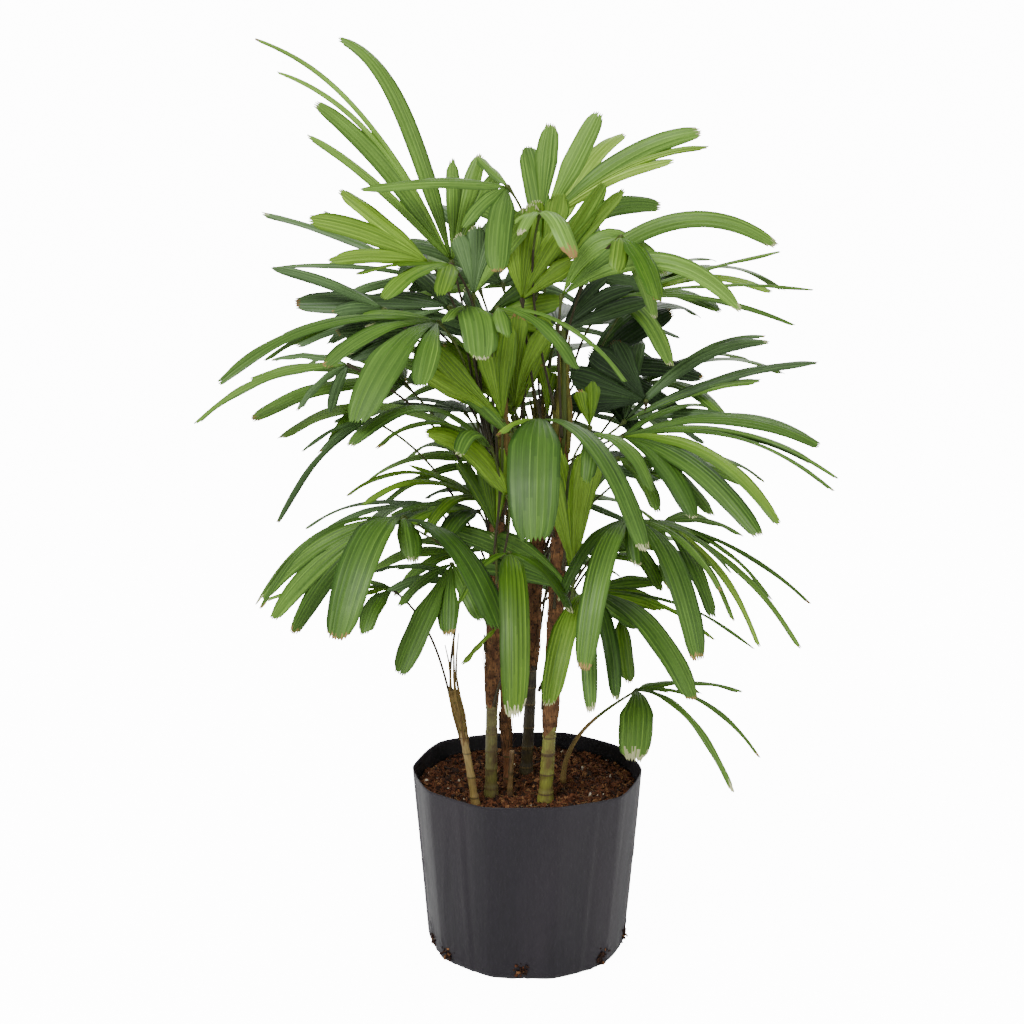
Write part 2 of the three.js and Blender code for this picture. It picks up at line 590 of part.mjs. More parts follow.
const leaves = [...LEAVES, ...tierLeaves()];
const hubs = leaves.map(placeHub);
const stalks = leaves.map(placeStalk);
leaves.forEach((leaf, i) => {
  const blades = placeBlades(leaf, i + 1);
  const solid = wasm.Manifold.union([stalks[i], hubs[i], ...blades]).simplify(TRIM_TOLERANCE);
  add(leaf.name, toGeometry(solid), leafMaterial);
});

export default group;
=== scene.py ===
# %% [markdown]
# # A lady palm in a black grow bag
# A lady palm is a clump of thin canes. Each cane carries fan leaves on wiry stalks, and each
# fan is split almost to its base into strap-shaped leaflets with blunt, toothed tips. This
# lesson dresses a plain solid model of one such plant, so that its shapes and sizes stay those
# of the solids while every surface gets its real outline, relief and finish.
#
# The packed solids are loaded first. Everything below is placed in their frame: Z is up, -Y is
# the front, and the origin lies under the middle of the bag.

# %% Load the solids
import math
import random

import bpy
import numpy as np
from mathutils import Matrix, Vector, kdtree, noise


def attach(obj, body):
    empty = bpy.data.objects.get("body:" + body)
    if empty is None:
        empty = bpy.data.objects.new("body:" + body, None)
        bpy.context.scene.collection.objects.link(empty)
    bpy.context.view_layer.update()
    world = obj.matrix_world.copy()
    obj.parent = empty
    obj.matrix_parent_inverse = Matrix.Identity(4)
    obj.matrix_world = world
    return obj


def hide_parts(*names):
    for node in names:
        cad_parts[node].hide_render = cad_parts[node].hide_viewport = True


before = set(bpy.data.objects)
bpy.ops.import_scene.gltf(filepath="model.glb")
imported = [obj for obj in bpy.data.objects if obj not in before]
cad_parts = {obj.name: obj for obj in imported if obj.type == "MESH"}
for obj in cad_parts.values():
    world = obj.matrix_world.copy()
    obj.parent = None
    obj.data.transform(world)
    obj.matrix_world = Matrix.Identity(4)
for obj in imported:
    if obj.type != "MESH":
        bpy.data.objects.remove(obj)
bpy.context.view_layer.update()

MM = 0.001  # the tables below are in millimetres, and Blender works in metres

# %% [markdown]
# ## Viewpoint
# A potted plant this size is usually looked at from a little above its middle. A long lens from
# 2.4 m keeps the leaves near the eye from looking larger than the ones behind. The camera comes
# first, so that every later step can be judged through it.

# %% Camera
PICTURE = 1024                    # width of the square picture in pixels
FOCAL_PIXELS = 2020               # focal length in the same pixels
EYE = (-0.019, -2.4, 1.12)
LOOK_DOWN = 13.1                  # degrees below level

camera_data = bpy.data.cameras.new("viewpoint")
camera_data.sensor_width = 36.0
camera_data.lens = camera_data.sensor_width * FOCAL_PIXELS / PICTURE
camera = bpy.data.objects.new("viewpoint", camera_data)
camera.location = EYE
camera.rotation_euler = (math.radians(90 - LOOK_DOWN), 0, 0)
bpy.context.scene.collection.objects.link(camera)
bpy.context.scene.camera = camera
print("camera lens", round(camera_data.lens, 1), "mm")

# %% [markdown]
# ## Floor and light
# A pale floor with no edge in sight could be a plane and a curved paper sweep. The plant is
# seen from all sides, so the sweep is turned round the plant instead: one wide dish whose rim
# rises behind every viewpoint. Three large soft lamps stand in for a studio: a key from the
# front left and above, a weaker fill from the right, and one from behind for the leaf edges. A
# paper floor comes out grey when the plant is exposed well. A studio lights the paper by itself
# until it burns out to white, and the glow that only the eye sees does the same here
# without throwing that light back on the plant.

# %% Studio dish
DISH_FLAT, DISH_RISE, DISH_EDGE = 3.2, 2.6, 64   # flat radius, radius of its upturned rim, steps
PAPER_GLOW = 13.0


def studio_dish():
    """A round floor whose edge curves up into a wall."""
    profile = [(0.001, 0.0), (DISH_FLAT, 0.0)]
    for step in range(1, 13):
        turn = math.radians(90 * step / 12)
        profile.append((DISH_FLAT + DISH_RISE * math.sin(turn), DISH_RISE * (1 - math.cos(turn))))
    verts, faces = [], []
    for radius, height in profile:
        for k in range(DISH_EDGE):
            turn = 2 * math.pi * k / DISH_EDGE
            verts.append((radius * math.cos(turn), radius * math.sin(turn), height))
    for row in range(len(profile) - 1):
        for k in range(DISH_EDGE):
            a, b = row * DISH_EDGE + k, row * DISH_EDGE + (k + 1) % DISH_EDGE
            faces.append((a, a + DISH_EDGE, b + DISH_EDGE, b))
    mesh = bpy.data.meshes.new("studio_floor")
    mesh.from_pydata(verts, [], faces)
    mesh.polygons.foreach_set("use_smooth", [True] * len(faces))
    return bpy.data.objects.new("studio_floor", mesh)


floor = studio_dish()
floor.location.z = -0.0005        # half a millimetre under the bag, so that the two never flicker
bpy.context.scene.collection.objects.link(floor)
print("dish of", len(floor.data.polygons), "faces, its wall", round(DISH_FLAT + DISH_RISE, 1), "m away")

# %% Paper
paper = bpy.data.materials.new("studio_paper")
paper.use_nodes = True
paper_skin = paper.node_tree.nodes["Principled BSDF"]
paper_skin.inputs["Base Color"].default_value = (0.93, 0.93, 0.93, 1)
paper_skin.inputs["Roughness"].default_value = 1.0
paper_skin.inputs["Specular IOR Level"].default_value = 0.0
paper_skin.inputs["Emission Color"].default_value = (1.0, 1.0, 1.0, 1)
seen = paper.node_tree.nodes.new("ShaderNodeLightPath")
glow = paper.node_tree.nodes.new("ShaderNodeMath")
glow.operation = "MULTIPLY"
glow.inputs[1].default_value = PAPER_GLOW
paper.node_tree.links.new(seen.outputs["Is Camera Ray"], glow.inputs[0])
paper.node_tree.links.new(glow.outputs[0], paper_skin.inputs["Emission Strength"])
floor.data.materials.append(paper)
print("paper glows with strength", PAPER_GLOW, "to the eye alone")


# %% Lamps and air
def soft_lamp(name, place, aim, size, watts):
    """A square area lamp at place, facing aim."""
    data = bpy.data.lights.new(name, "AREA")
    data.size, data.energy = size, watts
    lamp = bpy.data.objects.new(name, data)
    lamp.location = place
    lamp.rotation_euler = (Vector(place) - Vector(aim)).to_track_quat("Z", "Y").to_euler()
    bpy.context.scene.collection.objects.link(lamp)
    return lamp


MIDDLE = (0, 0, 0.6)
soft_lamp("key", (-1.4, -1.9, 3.0), MIDDLE, 1.4, 95)
soft_lamp("fill", (2.2, -1.8, 1.8), MIDDLE, 2.0, 24)
soft_lamp("rim", (0.6, 2.4, 2.4), MIDDLE, 1.6, 40)

sky = bpy.data.worlds.new("studio_air")
sky.use_nodes = True
sky.node_tree.nodes["Background"].inputs["Color"].default_value = (1.0, 1.0, 1.0, 1)
sky.node_tree.nodes["Background"].inputs["Strength"].default_value = 0.55
bpy.context.scene.world = sky

# %% [markdown]
# ## Meshes from arrays
# A plant is thousands of small surfaces. Making each with modelling operators would be slow, so
# every piece is gathered as arrays of points and four-cornered faces and becomes one mesh at
# the end. Each face also carries the name of its material, and each point a pair of grain
# coordinates, across and along. Stalks, canes and threads are tubes: rings of points, joined
# row by row and closed at both ends.

# %% Sheaf: a growing mesh
class Sheaf:
    """Points, four-cornered faces, a material for each face and grain coordinates."""

    def __init__(self):
        self.points, self.faces, self.paints, self.grains, self.count = [], [], [], [], 0

    def add(self, points, faces, paint, grain=None):
        """points in millimetres, paint one material name or one per face."""
        points = np.asarray(points, float).reshape(-1, 3)
        faces = np.asarray(faces, int).reshape(-1, 4)
        self.points.append(points)
        self.faces.append(faces + self.count)
        self.paints.extend([paint] * len(faces) if isinstance(paint, str) else paint)
        self.grains.append(np.zeros((len(points), 2)) if grain is None else np.asarray(grain, float))
        self.count += len(points)

    def piece(self, name, smooth=True):
        """One object that rides with the plant, its materials looked up by name."""
        points, faces = np.concatenate(self.points) * MM, np.concatenate(self.faces)
        grains = np.concatenate(self.grains) * MM
        mesh = bpy.data.meshes.new(name)
        mesh.vertices.add(len(points))
        mesh.vertices.foreach_set("co", points.ravel())
        mesh.loops.add(faces.size)
        mesh.loops.foreach_set("vertex_index", faces.ravel())
        mesh.polygons.add(len(faces))
        mesh.polygons.foreach_set("loop_start", np.arange(len(faces)) * 4)
        names = sorted(set(self.paints))
        for paint in names:
            mesh.materials.append(bpy.data.materials[paint])
        slots = {paint: k for k, paint in enumerate(names)}
        mesh.polygons.foreach_set("material_index", [slots[paint] for paint in self.paints])
        mesh.polygons.foreach_set("use_smooth", [smooth] * len(faces))
        layer = mesh.uv_layers.new(name="grain")
        layer.uv.foreach_set("vector", grains[faces.ravel()].ravel())
        mesh.update(calc_edges=True)
        mesh.validate()
        obj = bpy.data.objects.new(name, mesh)
        bpy.context.scene.collection.objects.link(obj)
        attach(obj, "root")
        print(f"{name}: {len(faces) * 2} triangles, {len(names)} materials")
        return obj


print("an empty sheaf holds", ", ".join(vars(Sheaf())))


# %% Rings and tubes
def rings(count, sides, closed_ends=True):
    """Faces of a tube of count rings with sides points each, its ends closed by strips."""
    faces = []
    for row in range(count - 1):
        for k in range(sides):
            a, b = row * sides + k, row * sides + (k + 1) % sides
            faces.append((a, b, b + sides, a + sides))
    if closed_ends:
        last = (count - 1) * sides
        for k in range(sides // 2 - 1):
            near, far = sides - 1 - k, sides - 2 - k
            faces.append((near, far, k + 1, k))
            faces.append((last + k, last + k + 1, last + far, last + near))
    return faces


def tube(line, radii, sides=6):
    """Points and faces of a tube along a line, from a radius at each of its points."""
    line = [Vector(p) for p in line]
    points = []
    across = None
    for i, centre in enumerate(line):
        tangent = (line[min(i + 1, len(line) - 1)] - line[max(i - 1, 0)]).normalized()
        if across is None:
            across = Vector((0, 1, 0)) if abs(tangent.y) < 0.9 else Vector((1, 0, 0))
        across = (across - tangent * across.dot(tangent)).normalized()
        other = tangent.cross(across)
        for k in range(sides):
            turn = 2 * math.pi * k / sides
            points.append(centre + (across * math.cos(turn) + other * math.sin(turn)) * radii[i])
    return points, rings(len(line), sides)


print("a tube of three rings of six points has", len(rings(3, 6)), "faces")

# %% [markdown]
# ## Shared shader effects
# Two effects turn up in more than one finish here. Grain draws fine lines along a leaf, a cane
# or the film, and gives a height for a Bump as well. Mottling varies a colour in soft clouds.
# Copying their nodes into every material would work, but a change would then have to be made
# many times. So each is a node group built once, with named inputs, and each material places
# it with its own values. The Principled shader itself stays in the material.

# %% Node helpers
def put(tree, kind, **inputs):
    """A node with its inputs set from values or from other nodes' outputs."""
    node = tree.nodes.new(kind)
    for label, value in inputs.items():
        socket = node.inputs[int(label[1:])] if label[0] == "_" else node.inputs[label.replace("_", " ")]
        if isinstance(value, bpy.types.NodeSocket):
            tree.links.new(value, socket)
        else:
            socket.default_value = value
    return node


def maths(tree, operation, first, second=0.0):
    """One Math node."""
    node = put(tree, "ShaderNodeMath", _0=first, _1=second)
    node.operation = operation
    return node.outputs[0]


def blend(tree, how, share, first, second):
    """One colour Mix node."""
    node = tree.nodes.new("ShaderNodeMix")
    node.data_type, node.blend_type = "RGBA", how
    for socket, value in ((node.inputs[0], share), (node.inputs[6], first), (node.inputs[7], second)):
        if isinstance(value, bpy.types.NodeSocket):
            tree.links.new(value, socket)
        else:
            socket.default_value = value
    return node.outputs[2]


def spread(tree, value, low, high, to_low=0.0, to_high=1.0):
    """One Map Range node, clamped."""
    return put(tree, "ShaderNodeMapRange", Value=value, From_Min=low, From_Max=high,
               To_Min=to_low, To_Max=to_high).outputs[0]


def new_group(name, inputs, outputs):
    """A node group with named sockets: (name, type, default) in, (name, type) out."""
    group = bpy.data.node_groups.new(name, "ShaderNodeTree")
    for label, kind, default in inputs:
        socket = group.interface.new_socket(name=label, in_out="INPUT", socket_type=kind)
        if default is not None:
            socket.default_value = default
    for label, kind in outputs:
        group.interface.new_socket(name=label, in_out="OUTPUT", socket_type=kind)
    return group, group.nodes.new("NodeGroupInput"), group.nodes.new("NodeGroupOutput")


print("node helpers:", ", ".join(helper.__name__ for helper in (put, maths, blend, spread, new_group)))

# %% Grain and mottling
COLOUR, NUMBER, VECTOR = "NodeSocketColor", "NodeSocketFloat", "NodeSocketVector"


def grain_group():
    """Fine lines that run along the grain coordinates or along any stretched vector."""
    group, given, made = new_group(
        "long_grain",
        [("Vector", VECTOR, None), ("Colour", COLOUR, (0.5, 0.5, 0.5, 1)), ("Lines", NUMBER, 900.0),
         ("Stretch", NUMBER, 0.03), ("Contrast", NUMBER, 0.2), ("Depth", NUMBER, 0.3)],
        [("Colour", COLOUR), ("Mask", NUMBER), ("Height", NUMBER)])
    parts = put(group, "ShaderNodeSeparateXYZ", Vector=given.outputs["Vector"])
    along = maths(group, "MULTIPLY", parts.outputs[1], given.outputs["Stretch"])
    lengthways = put(group, "ShaderNodeCombineXYZ", X=parts.outputs[0], Y=along)
    lines = put(group, "ShaderNodeTexNoise", Vector=lengthways.outputs[0], Scale=given.outputs["Lines"],
                Detail=2.0)
    mask = spread(group, lines.outputs["Fac"], 0.3, 0.7)
    dark = maths(group, "SUBTRACT", 1.0, given.outputs["Contrast"])
    shade = put(group, "ShaderNodeMapRange", Value=mask, To_Min=dark, To_Max=1.12)
    made_colour = blend(group, "MULTIPLY", 1.0, given.outputs["Colour"], shade.outputs[0])
    group.links.new(made_colour, made.inputs["Colour"])
    group.links.new(mask, made.inputs["Mask"])
    group.links.new(maths(group, "MULTIPLY", mask, given.outputs["Depth"]), made.inputs["Height"])
    return group


def mottle_group():
    """Soft clouds of a second colour over a first."""
    group, given, made = new_group(
        "mottling",
        [("Vector", VECTOR, None), ("Colour", COLOUR, (0.5, 0.5, 0.5, 1)),
         ("Patches", COLOUR, (0.3, 0.3, 0.3, 1)), ("Size", NUMBER, 60.0), ("Share", NUMBER, 0.5),
         ("Softness", NUMBER, 0.15)],
        [("Colour", COLOUR), ("Mask", NUMBER)])
    share, softness = given.outputs["Share"], given.outputs["Softness"]
    clouds = put(group, "ShaderNodeTexNoise", Vector=given.outputs["Vector"], Scale=given.outputs["Size"],
                 Detail=5.0)
    low = maths(group, "SUBTRACT", maths(group, "SUBTRACT", 1.0, share), softness)
    high = maths(group, "ADD", low, maths(group, "MULTIPLY", softness, 2.0))
    mask = spread(group, clouds.outputs["Fac"], low, high)
    colour = blend(group, "MIX", mask, given.outputs["Colour"], given.outputs["Patches"])
    group.links.new(colour, made.inputs["Colour"])
    group.links.new(mask, made.inputs["Mask"])
    return group


LONG_GRAIN, MOTTLING = grain_group(), mottle_group()
print("node groups:", [group.name for group in bpy.data.node_groups])


# %% Finish helpers
def place_group(tree, group, **inputs):
    """A node group set in a material, with its named inputs."""
    node = tree.nodes.new("ShaderNodeGroup")
    node.node_tree = group
    for label, value in inputs.items():
        if isinstance(value, bpy.types.NodeSocket):
            tree.links.new(value, node.inputs[label])
        else:
            node.inputs[label].default_value = value
    return node


def srgb(red, green, blue):
    """A screen colour of 0 to 255 as the linear colour that a shader takes."""
    shares = [c / 255 for c in (red, green, blue)]
    return (*(c / 12.92 if c <= 0.04 else ((c + 0.055) / 1.055) ** 2.4 for c in shares), 1.0)


def new_finish(name, roughness, specular=0.5):
    """A material's tree and its Principled shader, the constants set on the shader's own sockets."""
    material = bpy.data.materials.new(name)
    material.use_nodes = True
    skin = material.node_tree.nodes["Principled BSDF"]
    skin.inputs["Roughness"].default_value = roughness
    skin.inputs["Specular IOR Level"].default_value = specular
    return material.node_tree, skin


def add_relief(tree, skin, height, strength, distance=1.0):
    """A Bump node from a height to the shader's normal."""
    relief = put(tree, "ShaderNodeBump", Height=height, Strength=strength, Distance=distance)
    tree.links.new(relief.outputs["Normal"], skin.inputs["Normal"])


print("a screen's middle grey is", round(srgb(128, 128, 128)[0], 3), "to a shader")

# %% [markdown]
# ## The rule of the fans
# Every leaf of the clump follows one rule, the same as the solids follow. A stalk leaves its
# cane, arches out and ends at the hub, where the leaflets meet. Each leaflet leaves the hub at
# its own turn from the fan's middle line and bends down under its own weight towards its tip.
# The tables give each fan its place and its aim, and then either a turn, length, width and droop
# for every leaflet, or one spread for all, dealt out evenly with a little chance. All are in
# millimetres and degrees. The last words choose the part of the crown a fan belongs to, its
# colour, and how far its tips have dried.

# %% Fans that reach out
FANS = [
    dict(name="leaf_top_left", cane="cane_left", at=650, hub=(-91, 20, 864), aim=180, rise=71, roll=75,
         turns=(-21, -12, -9, -8, 6, 20, 34, 46), lengths=(225, 245, 305, 350, 300, 120, 130, 118),
         widths=(11, 21, 7, 7, 22, 18, 22, 24), droops=(0.45, 0.55, 0.75, 0.75, 0.92, 0.1, 0.2, 0.2),
         part="crown", tone=("leaf", 3.5)),
    dict(name="leaf_top_middle", cane="cane_back", at=630, hub=(17, 20, 908), aim=0, rise=62, roll=-75,
         turns=(-24, -3, 17, 23, 26), lengths=(117, 145, 218, 218, 172), widths=(28, 27, 24, 9, 14),
         droops=(0.1, 0.15, 0.65, 0.6, 0.45), part="crown", tone=("leaf", 3.0)),
    dict(name="leaf_left_far", cane="cane_left", at=560, hub=(-216, 10, 741), aim=186, rise=2, roll=20,
         turns=(-70, -40, -3, 35), lengths=(80, 92, 200, 110), widths=(14, 13, 21, 18),
         droops=(1, 1, 0.95, 0.6), part="left", tone=("deep", 3.2)),
    dict(name="leaf_right_level", cane="cane_front", at=570, hub=(111, -50, 664), aim=-24, rise=20,
         roll=-20, turns=(-55, -9, 6, 10, 13, 17, 25, 34, 45),
         lengths=(150, 240, 250, 285, 290, 135, 262, 265, 190), widths=(20, 31, 15, 6, 6, 9, 19, 27, 27),
         droops=(0.8, 0.9, 0.8, 0.8, 0.85, 0.6, 1.05, 0.95, 0.9), part="right", tone=("leaf", 1.4)),
    dict(name="leaf_right_rising", cane="cane_front", at=610, hub=(118, 30, 668), aim=12, rise=46,
         roll=-38, turns=(-40, -4, 0, 22, 30, 38), lengths=(140, 215, 210, 245, 178, 150),
         widths=(19, 8, 19, 14, 12, 14), droops=(0.8, 0.85, 0.8, 0.5, 0.5, 0.5), part="right",
         tone=("deep", 2.4)),
    dict(name="leaf_right_upper", cane="cane_back", at=600, hub=(103, 60, 816), aim=0, rise=12, roll=-12,
         turns=(-70, -45, -20, 4, 20, 50), lengths=(140, 190, 230, 242, 228, 130),
         widths=(20, 20, 11, 8, 13, 25), droops=(0.4, 0.4, 0.15, 0.35, 0.55, 2), part="right",
         tone=("leaf", 2.6)),
    dict(name="leaf_right_fold", cane="cane_front", at=660, hub=(39, -40, 830), aim=0, rise=74, roll=-70,
         turns=(5, 15, 27, 36), lengths=(206, 160, 285, 240), widths=(32, 20, 20, 22),
         droops=(2.75, 1.7, 1.25, 1.6), part="crown", tone=("leaf", 3.0)),
    dict(name="leaf_upright_left", cane="cane_left", at=658, hub=(-24, -10, 955), aim=188, rise=4,
         roll=34, turns=(-80, -38, 0, 62), lengths=(135, 80, 170, 65), widths=(31, 20, 22, 14),
         droops=(0.5, 0.9, 0.2, 0.3), part="crown", tone=("leaf", 2.3)),
    dict(name="leaf_left_upper", cane="cane_back", at=570, hub=(-116, 60, 840), aim=176, rise=16,
         roll=28, turns=(-30, -5, 15, 25, 32, 46, 64), lengths=(125, 195, 235, 110, 185, 190, 100),
         widths=(18, 11, 14, 26, 20, 7, 22), droops=(0.5, 0.42, 0.2, 0.45, 0.25, 0.3, 0.5), part="left",
         tone=("deep", 3.0)),
    dict(name="leaf_low_left", cane="cane_left", at=470, hub=(-150, -60, 565), aim=-108, rise=22, roll=0,
         turns=(-55, -28, 2, 50, 58), lengths=(222, 95, 236, 214, 214), widths=(43, 30, 48, 27, 16),
         droops=(1.9, 1.9, 2.4, 2.1, 2), part="skirt", tone=("leaf", 1.4), dry=1.6),
    dict(name="leaf_low_right", cane="cane_front", at=450, hub=(163, -10, 551), aim=-8, rise=-6,
         roll=-15, turns=(-60, -35, 12, 15, 30, 40, 46, 57, 78),
         lengths=(100, 120, 205, 165, 235, 205, 165, 155, 110), widths=(16, 18, 8, 9, 11, 12, 9, 21, 18),
         droops=(0.8, 0.8, 0.75, 1.1, 1, 1.3, 1.1, 1, 1), part="skirt", tone=("leaf", 2.2)),
    dict(name="leaf_foot_right", foot=(45, 0), hub=(134, -40, 347), aim=-22, rise=16, roll=0,
         turns=(-80, -55, -20, 14, 32, 73), lengths=(85, 105, 128, 190, 210, 112),
         widths=(14, 14, 10, 10, 10, 42), droops=(1, 1, 0.65, 1.4, 1.7, 2.4), part="skirt",
         tone=("leaf", 2.2), dry=2.0),
]
print(len(FANS), "fans that reach out")

# %% Fans towards the eye
FANS += [
    dict(name="leaf_front_centre", cane="cane_front", at=540, hub=(13, -72, 688), aim=-96, rise=16,
         roll=0, turns=(-37, -3, 50), lengths=(262, 215, 60), widths=(31, 60, 18), droops=(2, 2.7, 1),
         part="front", tone=("leaf", 2.0), dry=2.0),
    dict(name="leaf_front_right", cane="cane_front", at=500, hub=(70, -104, 678), aim=-30, rise=8,
         roll=0, turns=(10, 64), lengths=(114, 84), widths=(28, 20), droops=(2.1, 2), part="front",
         tone=("leaf", 2.4)),
    dict(name="leaf_left_broad", cane="cane_left", at=610, hub=(-105, -50, 801), aim=202, rise=12,
         roll=10, turns=(-62, -42, -18, -2, 4, 40), lengths=(140, 215, 170, 280, 215, 150),
         widths=(30, 46, 26, 26, 18, 26), droops=(1, 1.35, 0.9, 0.98, 0.95, 0.9), part="left",
         tone=("leaf", 2.2)),
    dict(name="leaf_left_bright", cane="cane_left", at=640, hub=(-90, -48, 868), aim=214, rise=4, roll=0,
         turns=(-50, -12, 40, 75), lengths=(90, 112, 110, 85), widths=(24, 30, 20, 20),
         droops=(0.9, 0.9, 0.4, 0.6), part="left", tone=("fresh", 1.6)),
    dict(name="leaf_middle_pale", cane="cane_left", at=600, hub=(-36, -70, 820), aim=-70, rise=2, roll=0,
         turns=(-46, -26, 8), lengths=(182, 142, 60), widths=(11, 26, 20), droops=(1.3, 1.3, 1.6),
         part="front", tone=("leaf", 2.6), dry=2.0),
    dict(name="leaf_left_arch", cane="cane_left", at=500, hub=(-44, -70, 655), aim=184, rise=39,
         roll=-20, turns=(26, 0, -30, -52), lengths=(300, 150, 238, 120), widths=(36, 22, 27, 20),
         droops=(1.3, 1.5, 1.3, 1.2), part="left", tone=("leaf", 2.2)),
    dict(name="leaf_low_front", cane="cane_left", at=430, hub=(-22, -115, 539), aim=-92, rise=4, roll=0,
         turns=(-60, -4, 60), lengths=(110, 240, 90), widths=(22, 34, 20), droops=(2.2, 2.8, 2.6),
         part="skirt", tone=("olive", 0.2), dry=2.0),
    dict(name="leaf_low_middle", cane="cane_front", at=380, hub=(68, -75, 481), aim=-60, rise=8, roll=0,
         turns=(-48, -40, -12, 16, 29, 48), lengths=(215, 168, 212, 175, 195, 185),
         widths=(6, 13, 37, 19, 20, 31), droops=(0.95, 0.95, 1.75, 2.4, 2.2, 2.2), part="skirt",
         tone=("leaf", 1.2)),
    dict(name="leaf_right_hanging", cane="cane_front", at=460, hub=(119, -70, 568), aim=-85, rise=8,
         roll=0, turns=(-75, -50, -18, 0, 24, 48), lengths=(140, 150, 235, 85, 240, 150),
         widths=(20, 20, 31, 19, 31, 24), droops=(1.4, 1.7, 2.3, 2, 2.6, 2.2), part="skirt",
         tone=("leaf", 1.7)),
    dict(name="leaf_low_left_inner", cane="cane_thin_left", at=345, hub=(-91, -62, 512), aim=-124,
         rise=-30, roll=0, turns=(-60, -28, -5, 45), lengths=(90, 100, 160, 80), widths=(22, 26, 33, 20),
         droops=(1.2, 1, 0.6, 1), part="skirt", tone=("leaf", 1.9)),
]
print(len(FANS), "fans with the ones towards the eye")

# %% Fans that fill between them
FANS += [
    dict(name="leaf_low_left_rear", cane="cane_thin_left", at=330, hub=(-167, 20, 458), aim=184, rise=10,
         roll=0, turns=(-62, -25, 2, 50), lengths=(90, 70, 158, 90), widths=(26, 16, 12, 18),
         droops=(1.5, 0.9, 0.6, 0.6), part="skirt", tone=("leaf", 2.2)),
    dict(name="leaf_low_arch", cane="cane_red", at=430, hub=(-60, 0, 577), aim=182, rise=36, roll=0,
         turns=(-45, -25, -6, 12, 40), lengths=(120, 168, 172, 105, 120), widths=(16, 15, 12, 10, 16),
         droops=(1.25, 1.1, 1.25, 0.7, 1), part="left", tone=("olive", 1.2)),
    dict(name="leaf_left_level", cane="cane_red", at=490, hub=(-93, -16, 814), aim=178, rise=0, roll=45,
         turns=(-10, 1, 26, 55), lengths=(100, 190, 155, 100), widths=(26, 36, 20, 24),
         droops=(0.3, 0.05, 0.9, 0.5), part="left", tone=("deep", 2.4), dry=1.6),
    dict(name="leaf_left_lower", cane="cane_red", at=460, hub=(-190, 0, 676), aim=205, rise=-6, roll=0,
         turns=(-38, -12, 15), lengths=(225, 80, 90), widths=(10, 12, 14), droops=(0.8, 0.9, 0.9),
         part="left", tone=("deep", 2.0)),
    dict(name="leaf_left_olive", cane="cane_red", at=492, hub=(-6, 24, 690), aim=182, rise=36, roll=30,
         spread=90, blades=5, length=150, width=29, droop=0.5, part="front", tone=("olive", 1.4)),
    dict(name="leaf_top_fold", cane="cane_front", at=692, hub=(14, -36, 926), aim=-60, rise=12, roll=0,
         turns=(4, 56, 100), lengths=(102, 60, 55), widths=(24, 18, 16), droops=(2.1, 1.4, 1.2),
         part="crown", tone=("leaf", 4.2), dry=2.5),
    # its leaflets take nearly the darkest deep green: partly an old fan's deep colour, partly painted shade
    # for the shaded right side of the crown
    dict(name="leaf_right_dark", cane="cane_back", at=540, hub=(72, 90, 722), aim=5, rise=10, roll=-45,
         turns=(-48, -25, 0, 30, 60), lengths=(250, 165, 150, 140, 120), widths=(32, 34, 30, 28, 24),
         droops=(1.1, 0.5, 0.6, 0.6, 0.6), part="right", tone=("deep", 0.3)),
    dict(name="leaf_upright_middle", cane="cane_front", at=620, hub=(-16, -18, 692), aim=-90, rise=80,
         roll=0, turns=(40, 26, 12, -2, -16), lengths=(104, 116, 122, 120, 112),
         widths=(24, 28, 30, 30, 24), droops=(0.6, 0.5, 0.4, 0.4, 0.5), part="front",
         tone=("olive", 2.0)),
    dict(name="leaf_middle_upper", cane="cane_left", at=630, hub=(10, 0, 830), aim=-90, rise=82, roll=0,
         turns=(-38, -30, -12, 4, 20), lengths=(158, 150, 120, 105, 95), widths=(18, 24, 34, 36, 26),
         droops=(0.1, 0.1, 0.15, 0.2, 0.3), part="front", tone=("fresh", 1.2)),
    dict(name="leaf_yellow", cane="cane_front", at=380, hub=(56, -66, 500), aim=-90, rise=82, roll=0,
         turns=(12, -2), lengths=(150, 176), widths=(30, 36), droops=(0.3, 0.2), part="front",
         tone=("olive", 3.0)),
    dict(name="leaf_low_left_side", cane="cane_left", at=440, hub=(-150, -22, 560), aim=182, rise=-8,
         roll=60, turns=(2, -8, -20), lengths=(205, 206, 196), widths=(20, 27, 27),
         droops=(1.25, 1.3, 1.3), part="skirt", tone=("leaf", 2.0), dry=1.6),
]
print(len(FANS), "fans in front and at the sides")

# %% [markdown]
# The far side of the clump needs no leaf-by-leaf table. Its fans stand in tiers, as they do on
# the plant: upright at the top, level in the middle and shorter and drooping near the foot.

# %% Fans of the far side
TIERS = [
    dict(cane="cane_back", at=620, height=850, reach=85, start=75, stop=115, leaves=2, rise=56,
         length=180, droop=0.7),
    dict(cane="cane_back", at=580, height=790, reach=150, start=35, stop=150, leaves=4, rise=20,
         length=215, droop=0.7),
    dict(cane="cane_back", at=500, height=680, reach=155, start=30, stop=155, leaves=5, rise=16,
         length=215, droop=0.8),
    dict(cane="cane_red", at=430, height=565, reach=145, start=35, stop=150, leaves=4, rise=14,
         length=200, droop=1.0),
    dict(cane="cane_red", at=340, height=450, reach=130, start=50, stop=125, leaves=3, rise=12,
         length=150, droop=1.1),
]
TIER = dict(
    centre=(0, 30), spread=150, blades=6, width=31, height_step=22, reach_step=13, at_step=12,
    rise_step=6, roll_step=8)


